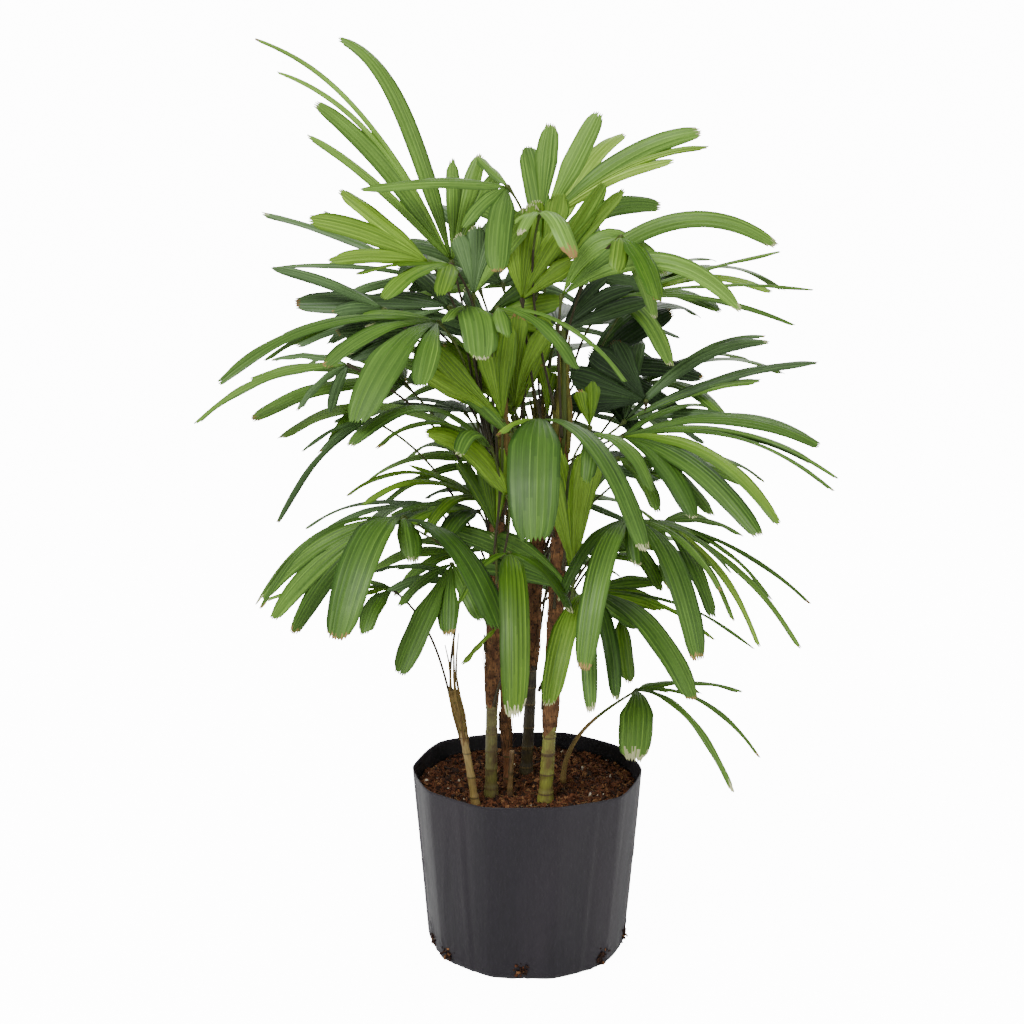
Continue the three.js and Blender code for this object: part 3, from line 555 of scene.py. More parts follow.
def tier_fans():
    """The rows of the far side, tier by tier."""
    rows = []
    for level, tier in enumerate(TIERS):
        for i in range(tier["leaves"]):
            share = i / (tier["leaves"] - 1)
            aim = tier["start"] + (tier["stop"] - tier["start"]) * share
            odd = 1 if i % 2 == 0 else -1
            reach = tier["reach"] + TIER["reach_step"] * odd
            hub = (TIER["centre"][0] + reach * math.cos(math.radians(aim)),
                   TIER["centre"][1] + reach * math.sin(math.radians(aim)),
                   tier["height"] + TIER["height_step"] * odd)
            rows.append(dict(
                name=f"leaf_back_{level + 1}_{i + 1}", cane=tier["cane"], at=tier["at"] - TIER["at_step"] * i,
                hub=hub, aim=aim, rise=tier["rise"] + TIER["rise_step"] * odd, roll=TIER["roll_step"] * odd,
                spread=TIER["spread"], blades=TIER["blades"], length=tier["length"], width=TIER["width"],
                droop=tier["droop"], part="back", tone=("leaf", 2.4) if odd > 0 else ("deep", 2.8), dry=0.6))
    return rows


ALL_FANS = FANS + tier_fans()
print(len(ALL_FANS), "fans,", len(ALL_FANS) - len(FANS), "of them on the far side")

# %% [markdown]
# The heart of the clump is full too. Young and half-hidden fans stand there between the canes,
# too tangled for solids that keep clear of each other. They have no solid of their own, only a
# short row here, and they stay well inside the reach of the others.

# %% Fans of the heart
HEART = [  # cane, hub, aim, rise, roll, colour, then turn, length, width and droop of each leaflet
    ("cane_left", (-18, -8, 680), 90, 84, 0, ("olive", 2.0),
     (-38, 120, 24, 0.3), (-24, 126, 30, 0.3), (-8, 128, 30, 0.2), (6, 124, 30, 0.2), (20, 112, 26, 0.2)),
    ("cane_front", (-7, -20, 823), 90, 84, 0, ("olive", 3.2),
     (-10, 110, 26, 0.2), (8, 116, 30, 0.2), (26, 104, 30, 0.3), (44, 76, 24, 0.5)),
    # the next two fans take the darkest deep greens: partly their deep green, partly painted shade for the
    # shaded right side of the crown
    ("cane_back", (39, 10, 780), 0, 30, -50, ("deep", 0.6),
     (-34, 92, 22, 0.5), (-18, 104, 24, 0.6), (-2, 112, 24, 0.5)),
    ("cane_back", (144, 24, 694), 180, 20, 70, ("deep", 0.2),
     (-14, 96, 34, 0.3), (6, 98, 36, 0.3), (26, 90, 36, 0.2), (46, 82, 32, 0.2)),
    ("cane_front", (75, -10, 668), 90, 86, 0, ("olive", 2.8), (-16, 46, 20, 0.1), (2, 54, 20, 0.1)),
    ("cane_front", (24, -5, 680), 90, 86, 0, ("olive", 1.6), (-6, 62, 20, 0.1), (8, 54, 16, 0.1)),
    ("cane_front", (56, -50, 474), 90, 80, 0, ("leaf", 1.4),
     (-56, 172, 26, 0.35), (-48, 120, 30, 0.4), (-66, 128, 22, 0.4)),
    ("cane_front", (54, -42, 486), 90, 86, 0, ("olive", 2.6),
     (-8, 172, 30, 0.1), (4, 150, 30, 0.1)),
    ("cane_left", (-38, -46, 548), 90, 84, 0, ("olive", 1.4),
     (-26, 96, 18, 0.2), (-10, 108, 20, 0.1), (4, 100, 18, 0.1)),
    ("cane_left", (-34, -72, 438), 180, -38, 0, ("leaf", 2.6), (-8, 62, 18, 0.5)),
    ("cane_left", (-24, -66, 596), 180, 62, 60, ("olive", 3.6), (-4, 128, 28, 0.9)),
    ("cane_left", (-72, -66, 820), -84, 10, 0, ("leaf", 2.6), (-8, 96, 44, 2.6), (40, 44, 20, 1.2)),
    ("cane_left", (-64, -30, 830), 90, 80, 0, ("deep", 3.6),
     (-14, 72, 26, 0.2), (2, 80, 28, 0.2), (16, 92, 30, 0.2), (30, 116, 32, 0.2)),
]
print(len(HEART), "fans in the upper and front heart")

# %% More fans of the heart
HEART += [
    ("cane_left", (-52, 0, 799), 0, 22, -75, ("leaf", 1.4),
     (-18, 84, 24, 0.4), (0, 96, 28, 0.4), (20, 84, 24, 0.5)),
    ("cane_front", (71, -20, 466), 0, 6, -40, ("leaf", 1.6),
     (-10, 92, 22, 0.3), (8, 96, 26, 0.5), (30, 84, 24, 0.7)),
    ("cane_back", (114, -5, 430), -60, -40, 0, ("olive", 1.4), (14, 84, 22, 1.6)),
    ("cane_back", (-40, 20, 720), 140, 30, 0, ("deep", 1.2),
     (-50, 110, 28, 0.7), (-20, 120, 30, 0.8), (10, 118, 30, 0.8), (40, 105, 26, 0.7)),
    ("cane_back", (60, 40, 600), 30, 25, 0, ("deep", 1.2),
     (-50, 110, 28, 0.9), (-20, 120, 30, 0.9), (10, 118, 30, 0.9), (40, 105, 26, 0.9)),
    ("cane_red", (-60, 10, 560), 200, 20, 0, ("leaf", 1.2),
     (-45, 100, 26, 0.9), (-15, 112, 28, 0.9), (15, 110, 28, 0.9), (42, 96, 26, 0.9)),
    ("cane_left", (-110, 30, 780), 180, 6, 50, ("deep", 1.4),
     (-20, 110, 26, 0.3), (0, 120, 28, 0.3), (20, 110, 26, 0.4), (44, 90, 22, 0.4)),
    ("cane_back", (70, 60, 840), 30, 30, -40, ("deep", 1.8),
     (-40, 90, 24, 0.5), (-14, 110, 26, 0.6), (12, 110, 26, 0.6), (38, 90, 22, 0.6)),
    ("cane_left", (-30, -50, 684), 90, 86, 0, ("olive", 2.4),
     (-56, 118, 24, 0.1), (-42, 124, 26, 0.1), (-12, 104, 26, 0.1), (4, 112, 26, 0.1)),
    ("cane_left", (-20, -56, 668), 180, 30, 62, ("leaf", 2.2), (20, 164, 24, 0.7)),
    ("cane_back", (106, -70, 902), -50, -16, 0, ("fresh", 1.4), (6, 100, 34, 1.9), (48, 60, 22, 1.6)),
    ("cane_red", (-70, -10, 470), 170, 30, 0, ("deep", 2.4),
     (-30, 110, 20, 0.9), (-6, 124, 20, 0.9), (18, 110, 18, 1)),
    ("cane_back", (96, -20, 545), -10, 10, -30, ("leaf", 2.2),
     (-8, 130, 22, 0.9), (18, 130, 22, 1), (44, 110, 20, 1.1)),
    ("cane_left", (-115, -30, 868), 180, 28, 60, ("olive", 3.0),
     (0, 148, 26, 0.35), (17, 134, 20, 0.25), (-16, 118, 20, 0.5)),
    ("cane_left", (-170, -20, 812), 180, 26, 60, ("deep", 2.4), (4, 138, 14, 0.4), (-24, 60, 18, 0.3)),
    ("cane_left", (-46, -12, 772), 180, 34, 60, ("deep", 2.0),
     (-6, 112, 22, 0.5), (16, 92, 22, 0.4), (38, 70, 20, 0.3)),
    ("cane_front", (106, -60, 640), -50, 8, -10, ("leaf", 2.4), (-12, 150, 24, 1.4), (14, 110, 20, 1.5)),
    ("cane_back", (20, 80, 640), 75, 16, 0, ("leaf", 1.8),
     (-54, 118, 26, 0.9), (-20, 132, 28, 0.9), (14, 130, 28, 0.9), (48, 116, 24, 0.9)),
    ("cane_red", (-30, 80, 560), 125, 14, 0, ("deep", 2.6),
     (-50, 118, 26, 0.9), (-16, 132, 28, 0.9), (18, 130, 28, 0.9), (50, 110, 24, 0.9)),
    ("cane_back", (30, 90, 470), 80, 12, 0, ("leaf", 1.6),
     (-52, 110, 24, 1), (-18, 126, 26, 1), (16, 124, 26, 1), (50, 108, 24, 1)),
]
print(len(HEART), "fans in the heart")

# %% The heart in the table's words
HEART_STALK, HEART_HIGHEST = 110, 640   # a heart fan's stalk starts this far below its hub, and no higher
HEART_CROWD = 1.35                # its leaflets may be this much closer than their turns allow


def heart_fans():
    """The rows of the heart in the same words as the table's."""
    rows = []
    for number, (cane, hub, aim, rise, roll, tone, *blades) in enumerate(HEART):
        turns, lengths, widths, droops = zip(*blades)
        rows.append(dict(
            name=f"heart_{number + 1}", cane=cane, at=min(hub[2] - HEART_STALK, HEART_HIGHEST), hub=hub,
            aim=aim, rise=rise, roll=roll, turns=turns, lengths=lengths, widths=widths, droops=droops,
            part="heart", tone=tone, dry=0.5, crowd=HEART_CROWD))
    return rows


print("rows from", heart_fans()[0]["name"], "to", heart_fans()[-1]["name"])

# %% [markdown]
# ## Canes as lines
# The stalks start from the canes, so the canes' middle lines come first. Each is a gentle curve
# from its foot in the potting mix to its top, and it gets a little thinner on the way.

# %% Lines of the canes
MIX_TOP = 211
CLEAR = 0.3                       # the solids' gap where parts meet
CANES = {
    "cane_thin_left": dict(foot=(-64, -70), top=(-90, -68, 356), bow=(3, 0), radius=5.5, tip=4.5, sheath=300),
    "cane_left": dict(foot=(-45, -37), top=(-31, -20, 664), bow=(-6, 0), radius=8, tip=6.5, sheath=322),
    "cane_red": dict(foot=(-24, -2), top=(-27, 10, 500), bow=(-4, 3), radius=5.5, tip=5, sheath=250),
    "cane_stub": dict(foot=(-22, -40), top=(-19, -38, 268), bow=(0, 0), radius=3.6, tip=3.4, sheath=600),
    "cane_back": dict(foot=(-1, 40), top=(14, 46, 640), bow=(5, 3), radius=8, tip=6.5, sheath=350),
    "cane_front": dict(foot=(22, -55), top=(42, -12, 700), bow=(5, -4), radius=9, tip=6.5, sheath=296),
}
FLARE, FLARE_HEIGHT, SHEATH_GROWTH, SHEATH_RAMP = 1.25, 14, 1.28, 24


def cane_line(cane, share):
    """A point of the cane's middle line, share 0 at its foot and 1 at its top."""
    start = Vector((*cane["foot"], MIX_TOP + CLEAR))
    end = Vector(cane["top"])
    middle = (start + end) / 2 + Vector((*cane["bow"], 0))
    return start * (1 - share) ** 2 + middle * 2 * share * (1 - share) + end * share ** 2


def cane_share(cane, height):
    """How far along its line the cane reaches a height."""
    low, high = 0.0, 1.0
    for _ in range(24):
        half = (low + high) / 2
        low, high = (half, high) if cane_line(cane, half).z < height else (low, half)
    return low


def cane_radius(cane, height):
    """The cane's radius at a height, flared at its foot and thicker under its old leaf sheaths."""
    climbed = height - MIX_TOP
    wood = cane["radius"] + (cane["tip"] - cane["radius"]) * climbed / (cane["top"][2] - MIX_TOP)
    flare = 1 + (FLARE - 1) * max(0.0, 1 - climbed / FLARE_HEIGHT)
    wrapped = min(1.0, max(0.0, (height - cane["sheath"]) / SHEATH_RAMP))
    return wood * flare * (1 + (SHEATH_GROWTH - 1) * wrapped)


print("cane heights", {name: cane["top"][2] for name, cane in CANES.items()})

# %% [markdown]
# ## Stalks and leaflets as lines
# A leaflet's middle line is walked out from the hub in short steps. At each step the direction
# sinks a little further, and the blade's width direction is carried along with it, so that the
# blade bends without twisting. The solids try a leaflet in a few ways until it clears its
# neighbours. Which way each one took is looked up in its packed solid, by the two corners of its
# tip, so the fine leaflets lie exactly where the solid ones do.

# %% Measures of the rule
STALK = dict(radius=2.7, lean=0.35, climb=0.38, land=0.35, along_fan=0.6, along_span=0.7, swing=24,
             swings=(0, 1, -1, 2, -2, 3, -3))
BLADE = dict(root=3, thickness=3.1, slimmest=0.0105, below=0.35, sag=1.3, settle=0.05, steep=0.2,
             edge_shorter=0.28, edge_narrower=0.3, crowding=0.86, end_width=0.42, least_gap=14,
             bearing_jitter=0.18, length_jitter=0.1, droop_jitter=0.2, walk=16)
TRIES = (
    (0, 0, 1), (0, 0.15, 1), (0, -0.15, 1), (5, 0.1, 0.97), (-5, -0.1, 0.97), (0, 0.35, 0.94),
    (0, -0.35, 0.94), (8, 0.25, 0.88), (-8, -0.25, 0.88), (4, 0.55, 0.8), (-4, -0.55, 0.8),
    (0, 0.2, 0.65), (0, -0.2, 0.65))   # turn and droop added, and share of the length kept
SAME_PLACE = 0.4                  # a corner counts as found within this distance
UP = Vector((0, 0, 1))


def stream(seed):
    """A repeatable stream of numbers between -1 and 1."""
    state = (seed * 7919 + 12345) % 2 ** 32
    while True:
        state = (state * 1664525 + 1013904223) % 2 ** 32
        yield state / 2 ** 31 - 1


print(len(TRIES), "tries for each leaflet,", len(STALK["swings"]), "for each stalk")


# %% Stalk curves
def fan_axes(fan):
    """Forward along the fan, and to its right as seen from above the stalk."""
    aim, rise, roll = (math.radians(fan[k]) for k in ("aim", "rise", "roll"))
    forward = Vector((math.cos(rise) * math.cos(aim), math.cos(rise) * math.sin(aim), math.sin(rise)))
    level = Vector((math.sin(aim), -math.cos(aim), 0))
    right = level * math.cos(roll) + level.cross(forward) * math.sin(roll)
    return forward, right


def stalk_curve(fan, swing):
    """The four control points of a stalk that leaves its cane turned by swing degrees."""
    hub = Vector(fan["hub"])
    if "foot" in fan:
        start, lean = Vector((*fan["foot"], MIX_TOP + CLEAR)), UP
    else:
        cane = CANES[fan["cane"]]
        centre = cane_line(cane, cane_share(cane, fan["at"]))
        out = Vector((hub.x - centre.x, hub.y - centre.y, 0)).normalized()
        out = Matrix.Rotation(math.radians(swing), 3, "Z") @ out
        start = centre + out * (cane_radius(cane, fan["at"]) + STALK["radius"] + 3 * CLEAR)
        lean = (UP + out * STALK["lean"]).normalized()
    span = (hub - start).length
    straight = (hub - start).normalized()
    arrive = (fan_axes(fan)[0] * STALK["along_fan"] + straight * STALK["along_span"]).normalized()
    return start, start + lean * span * STALK["climb"], hub - arrive * span * STALK["land"], hub


def on_curve(points, share):
    """A point of a cubic curve."""
    a, b, c, d = points
    rest = 1 - share
    return a * rest ** 3 + b * 3 * rest ** 2 * share + c * 3 * rest * share ** 2 + d * share ** 3


print("halfway up the first stalk:", [round(v) for v in on_curve(stalk_curve(FANS[0], 0), 0.5)])


# %% Leaflet lines
def blade_line(fan, bearing, length, droop, count=16):
    """Points, width directions and headings along a leaflet, walked out in count steps."""
    forward, right = fan_axes(fan)
    c, s = math.cos(math.radians(bearing)), math.sin(math.radians(bearing))
    heading = forward * c + right * s
    across = right * c - forward * s
    point = Vector(fan["hub"]) + heading * BLADE["root"]
    line = [(point.copy(), across.copy(), heading.copy())]
    for i in range(count):
        share = (i + 0.5) / count
        tangent = (heading - UP * droop * share ** BLADE["sag"]).normalized()
        point = point + tangent * length / count
        across = (across - tangent * across.dot(tangent)).normalized()
        level = tangent.cross(UP)
        if level.length > BLADE["steep"]:
            level.normalize()
            side = -1 if level.dot(across) < 0 else 1
            across = (across + level * BLADE["settle"] * droop * share * side * 16 / count).normalized()
        line.append((point.copy(), across.copy(), tangent.copy()))
    return line


def room_for(gap):
    """How fast the room for a leaflet grows with the way from its hub."""
    return BLADE["crowding"] * 2 * math.tan(math.radians(gap / 2))


def leaflets(fan, chance):
    """Bearing, length, width, droop and room of each leaflet of a fan."""
    if "turns" in fan:
        made = []
        for i, turn in enumerate(fan["turns"]):
            gap = min([abs(turn - other) for j, other in enumerate(fan["turns"]) if j != i], default=40)
            room = room_for(max(BLADE["least_gap"], gap)) * fan.get("crowd", 1)
            made.append(dict(bearing=turn, length=fan["lengths"][i], width=fan["widths"][i],
                             droop=fan["droops"][i], room=room))
        return made
    step = fan["spread"] / (fan["blades"] - 1)
    made = []
    for i in range(fan["blades"]):
        side = 2 * i / (fan["blades"] - 1) - 1
        turn, stretch, bend = next(chance), next(chance), next(chance)
        made.append(dict(
            bearing=side * fan["spread"] / 2 + step * BLADE["bearing_jitter"] * turn,
            length=fan["length"] * (1 - BLADE["edge_shorter"] * side * side)
            * (1 + BLADE["length_jitter"] * stretch),
            width=fan["width"] * (1 - BLADE["edge_narrower"] * side * side),
            droop=fan["droop"] * (1 + BLADE["droop_jitter"] * bend), room=room_for(step)))
    return made


print("the first fan has", len(leaflets(FANS[0], None)), "leaflets")

# %% [markdown]
# ### Looking up the solids
# The script could repeat the solids' whole trial, but it would need their boolean sums. It is
# enough to ask each packed solid where its points are: a leaflet's tip has two corners there,
# and only the try that was taken has them both in place.


# %% Look up the solids
def corner_finder(node):
    """A quick search for the points of a packed solid."""
    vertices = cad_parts[node].data.vertices
    finder = kdtree.KDTree(len(vertices))
    for i, vertex in enumerate(vertices):
        finder.insert(vertex.co, i)
    finder.balance()
    return finder


def settled(fan, leaflet, finder):
    """The leaflet as its packed solid has it, or None where it was left out."""
    for turn, lift, trim in TRIES:
        way = dict(leaflet, bearing=leaflet["bearing"] + turn, length=leaflet["length"] * trim,
                   droop=leaflet["droop"] + lift)
        point, across, tangent = blade_line(fan, way["bearing"], way["length"], way["droop"])[-1]
        half = min(way["width"] * BLADE["end_width"], way["room"] * (BLADE["root"] + way["length"])) / 2
        thickness = max(BLADE["thickness"], BLADE["slimmest"] * way["length"])
        low = point - across.cross(tangent).normalized() * thickness * BLADE["below"]
        if all(finder.find((low + across * side * half) * MM)[2] < SAME_PLACE * MM for side in (1, -1)):
            return way
    return None


def settled_stalk(fan, finder):
    """The stalk's curve as its packed solid has it."""
    for swing in STALK["swings"]:
        curve = stalk_curve(fan, swing * STALK["swing"])
        tangent = (curve[1] - curve[0]).normalized()
        edge = curve[0] + Vector((0, 1, 0)).cross(tangent).normalized() * STALK["radius"]
        if finder.find(edge * MM)[2] < SAME_PLACE * MM:
            return curve
    return stalk_curve(fan, 0)


print("points in the first fan's solid:", len(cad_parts[FANS[0]["name"]].data.vertices))

# %% Plans of all the fans
PLANS = []
for number, fan in enumerate(ALL_FANS):
    finder = corner_finder(fan["name"])
    ways = [settled(fan, leaflet, finder) for leaflet in leaflets(fan, stream(number + 1))]
    PLANS.append(dict(fan=fan, number=number, curve=settled_stalk(fan, finder), ways=[w for w in ways if w]))
    PLANS[-1]["lost"] = len(ways) - len(PLANS[-1]["ways"])
for number, fan in enumerate(heart_fans(), len(PLANS)):
    PLANS.append(dict(fan=fan, number=number, curve=stalk_curve(fan, 0), ways=leaflets(fan, None), lost=0))
print(sum(len(plan["ways"]) for plan in PLANS), "leaflets found in the solids or the heart,",
      sum(plan["lost"] for plan in PLANS), "left out for want of room")

# %% [markdown]
# ## Leaf colours
# A fan is not one green. Old fans are a deep blue-green, young ones yellow-green, and each
# leaflet runs in streaks a little lighter or darker between its ribs. An image could paint that,
# but a plain colour dealt out face by face stays sharp at any size and needs no unwrapping. Four
# families of green each run from dark to light in nine steps. The olive greens are the
# yellow-green of young leaves, made lighter as painted light for young leaflets lit from behind.
# The underside of a leaflet is paler and duller than its face. The cut-looking tips are dry, in
# straw and brown, and in a pale colour that is partly a painted highlight on the tips.

# %% Leaf finishes
STEPS = 9
LIGHTEST = 5                      # the level at the light end, 0 being the dark one
FAMILIES = {
    "deep": ((32, 54, 22), (118, 154, 92)),
    "leaf": ((42, 74, 18), (138, 184, 72)),
    "fresh": ((66, 108, 16), (176, 214, 84)),
    # olive: the yellow-green of young leaves, made lighter as painted light for young leaflets lit from
    # behind
    "olive": ((56, 90, 12), (162, 206, 64)),
}
UNDERSIDE = (124, 154, 66)        # a fifth of this paler green goes into each underside
# tip colours: straw and brown are dried tips, and the pale one is partly a dried tip, partly a painted
# highlight
DRY_TIPS_AND_HIGHLIGHT = {"tip_pale": (200, 202, 150), "tip_straw": (168, 136, 82), "tip_brown": (120, 88, 52)}
STALK_COLOURS = {                 # colour and roughness
    "stalk_green": ((78, 92, 34), 0.45), "stalk_brown": ((66, 60, 38), 0.5),
    "stalk_tan": ((140, 118, 70), 0.55)}


def leaf_finish(name, colour, roughness, contrast=0.36):
    """A satin leaf colour with fine lines along the blade."""
    tree, skin = new_finish(name, roughness, 0.28)
    place = tree.nodes.new("ShaderNodeUVMap")
    place.uv_map = "grain"
    grain = place_group(tree, LONG_GRAIN, Vector=place.outputs[0], Colour=colour, Lines=620.0, Stretch=0.02,
                        Contrast=contrast, Depth=0.00012)
    clouds = place_group(tree, MOTTLING, Vector=place.outputs[0], Colour=grain.outputs["Colour"],
                         Patches=tuple(0.78 * c for c in colour[:3]) + (1,), Size=28.0, Share=0.42)
    tree.links.new(clouds.outputs["Colour"], skin.inputs["Base Color"])
    uneven = spread(tree, clouds.outputs["Mask"], 0, 1, roughness, roughness + 0.12)
    tree.links.new(uneven, skin.inputs["Roughness"])
    add_relief(tree, skin, grain.outputs["Height"], 0.6)


def mixed(first, second, share):
    """A colour on the way from the first to the second."""
    return tuple(a + (b - a) * share for a, b in zip(first, second))


for family, (dark, light) in FAMILIES.items():
    for step in range(STEPS):
        shade = mixed(dark, light, step / (STEPS - 1))
        leaf_finish(f"{family}_{step}", srgb(*shade), 0.44)
        leaf_finish(f"{family}_under_{step}", srgb(*mixed(shade, UNDERSIDE, 0.2)), 0.56)
for name, shade in DRY_TIPS_AND_HIGHLIGHT.items():
    leaf_finish(name, srgb(*shade), 0.75, 0.3)
for name, (shade, roughness) in STALK_COLOURS.items():
    leaf_finish(name, srgb(*shade), roughness)
print(2 * len(FAMILIES) * STEPS + len(DRY_TIPS_AND_HIGHLIGHT) + len(STALK_COLOURS), "leaf and stalk colours")

# %% [markdown]
# ## Leaflets
# Up close a leaflet is a strap with three to six ribs. Between them the blade sinks in a shallow
# pleat, and at the tip each rib runs out into a small tooth. A flat card with a picture of a
# leaf would lose the pleats that catch the light, so each leaflet is a grid of points instead:
# stations along it, and across it an edge, a hollow, the two sides of a rib, a hollow, and so
# on. The grid is doubled below, half a millimetre down, which makes a closed blade with its own
# underside.

# %% Across a leaflet
RIB_SPACING = 5.6                 # usual distance between ribs
RIB_WIDTH = 1.3
FEWEST_RIBS, MOST_RIBS = 3, 6


def blade_columns(width):
    """Places across a leaflet from -1 to 1 and the kind of each: edge, hollow or rib side."""
    ribs = int(min(MOST_RIBS, max(FEWEST_RIBS, round(width / RIB_SPACING))))
    half_rib = RIB_WIDTH / width
    places, kinds = [-1.0], ["edge"]
    for k in range(ribs + 1):
        middle = -1 + 2 * (k + 0.5) / (ribs + 1)
        places.append(middle)
        kinds.append("hollow")
        if k < ribs:
            rib = -1 + 2 * (k + 1) / (ribs + 1)
            places += [rib - half_rib, rib + half_rib]
            kinds += ["rib", "rib"]
    return np.array(places + [1.0]), np.array(kinds + ["edge"])


print("a leaflet 30 mm wide is", len(blade_columns(30)[0]), "points across")

# %% Shape of a leaflet
STATIONS = 27                     # rows of points along a leaflet
CLOSER_AT_TIP = 1.35              # 1 spaces them evenly, more brings them closer towards the tip
OUTLINE = (                       # share of the length, and share of the full width there
    (0, 0.22), (0.06, 0.46), (0.16, 0.8), (0.3, 0.96), (0.45, 1.0), (0.66, 1.0), (0.8, 0.93),
    (0.92, 0.78), (1, 0.56))
MEETING = 1.2                     # neighbours meet at the base, where the solids keep a gap
PLEAT = 0.55                      # half the height of a pleat
RIPPLE = 0.8                      # how far the margins wave up and down
SHEET = 0.5                       # thickness of the blade
TWIST, BOW = 0.22, 3.5            # most that a blade turns about its line, and bends aside
TOOTHED = 0.2                     # share of the length over which the teeth are cut


def blade_grid(fan, way, rng):
    """The points of a leaflet's upper face, stations by columns, and what the painter needs."""
    walked = blade_line(fan, way["bearing"], way["length"], way["droop"], 32)
    even = np.linspace(0, 1, len(walked))
    shares = 1 - (1 - np.linspace(0, 1, STATIONS)) ** CLOSER_AT_TIP
    line, across, heading = (
        np.stack([np.interp(shares, even, [entry[k][axis] for entry in walked]) for axis in range(3)], 1)
        for k in range(3))
    across /= np.linalg.norm(across, axis=1)[:, None]
    heading /= np.linalg.norm(heading, axis=1)[:, None]
    above = np.cross(across, heading)
    above /= np.linalg.norm(above, axis=1)[:, None]
    twist = rng.uniform(-TWIST, TWIST) * shares[:, None] ** 1.5
    across, above = (across * np.cos(twist) + above * np.sin(twist),
                     above * np.cos(twist) - across * np.sin(twist))

    u, kinds = blade_columns(way["width"])
    profile = np.interp(shares, *zip(*OUTLINE)) * way["width"]
    half = np.minimum(profile, MEETING * way["room"] * (BLADE["root"] + way["length"] * shares)) / 2
    thickness = max(BLADE["thickness"], BLADE["slimmest"] * way["length"])
    arch = thickness * (1 - BLADE["below"] - np.abs(u) * rng.uniform(0.75, 1.1))
    pleat = np.where(kinds == "rib", PLEAT, np.where(kinds == "hollow", -PLEAT, 0))
    pleat = pleat * (1.15 - 0.6 * shares[:, None])
    pleat *= np.minimum(1, half[:, None] / 4)
    waves = rng.uniform(1.5, 3.2) * shares[:, None]
    starts = np.where(u > 0, *rng.uniform(0, 1, 2))
    ripple = np.abs(u) ** 3 * np.sin(2 * np.pi * (waves + starts))
    rise = arch * np.minimum(1, 0.35 + shares[:, None] * 4) + pleat + ripple * RIPPLE
    bow = rng.uniform(-BOW, BOW) * np.sin(np.pi * shares)

    notch = np.where(kinds == "rib", rng.uniform(0, 1.6, len(u)), rng.uniform(2.5, 6.5, len(u)))
    notch += np.abs(u) ** 2 * rng.uniform(1, 6) + (u * rng.choice([-1, 1]) + 1) * rng.uniform(0, 2.2)
    notch = (notch - notch.min()) * np.clip((shares[:, None] - (1 - TOOTHED)) / TOOTHED, 0, 1) ** 2
    aside = u[None, :, None] * half[:, None, None] + bow[:, None, None]
    points = (line[:, None, :] + across[:, None, :] * aside
              + above[:, None, :] * rise[:, :, None] - heading[:, None, :] * notch[:, :, None])
    return points, np.broadcast_to(above[:, None, :], points.shape), u, kinds, shares, half


print("each leaflet is", STATIONS, "points along, and", OUTLINE[-1][1], "of its width at its tip")

# %% Blade colours
NEXT_FAMILY = 0.14                # share of the leaflets that take the next family's greens
LEVEL_SPREAD, STREAK_SPREAD = 0.45, 0.34   # how far leaflets differ, and the streaks within one
# levels: ribs painted lighter as a painted highlight, margins painted darker as painted shade where leaflets
# overlap
RIB_PAINTED_HIGHLIGHT, MARGIN_PAINTED_SHADE = 0.85, 0.55
DRY_AND_HIGHLIGHT_SHARES = (0.58, 0.34, 0.08)   # how often a tip is pale (partly dry, partly a painted highlight), straw or brown


def blade_paint(fan, way, kinds, shares, rng):
    """A material name for each face of the upper side, stations by columns, and for the lower side."""
    family, level = fan["tone"]
    order = list(FAMILIES)
    if rng.random() < NEXT_FAMILY:
        family = order[min(len(order) - 1, order.index(family) + 1)]
    level += rng.normal(0, LEVEL_SPREAD)
    columns = len(kinds) - 1
    # faces between the two sides of a rib, painted lighter: a painted highlight along each rib
    rib = (kinds[:-1] == "rib") & (kinds[1:] == "rib")
    # faces at the edges, painted darker: painted shade where leaflets lie over each other
    shaded_margin = (kinds[:-1] == "edge") | (kinds[1:] == "edge")
    streak = rng.normal(0, STREAK_SPREAD, columns) + rng.uniform(-0.5, 0.5) * np.linspace(-1, 1, columns)
    ramp = rng.uniform(-0.3, 0.9) * (shares[:-1, None] - 0.4)
    tone = level + streak[None, :] + ramp + rib * RIB_PAINTED_HIGHLIGHT - shaded_margin * MARGIN_PAINTED_SHADE
    steps = np.clip(np.rint(tone * (STEPS - 1) / LIGHTEST), 0, STEPS - 1).astype(int)
    dry = fan.get("dry", 1) * rng.choice([0, 1, 2], p=[0.45, 0.4, 0.15]) * rng.uniform(0.5, 4.5, columns)
    to_tip = (1 - (shares[:-1] + shares[1:]) / 2)[:, None] * way["length"]
    # the tip's colour: straw or brown for a dried tip, or the pale one that is partly a painted highlight
    ends = rng.choice(list(DRY_TIPS_AND_HIGHLIGHT), p=DRY_AND_HIGHLIGHT_SHARES)
    upper = np.where(to_tip < dry[None, :], ends, np.char.add(f"{family}_", steps.astype(str)))
    lower = np.where(to_tip < dry[None, :], ends, np.char.add(f"{family}_under_", steps.astype(str)))
    return upper, lower


print("a rib is", round(RIB_PAINTED_HIGHLIGHT * (STEPS - 1) / LIGHTEST, 1), "steps lighter than the blade beside it")


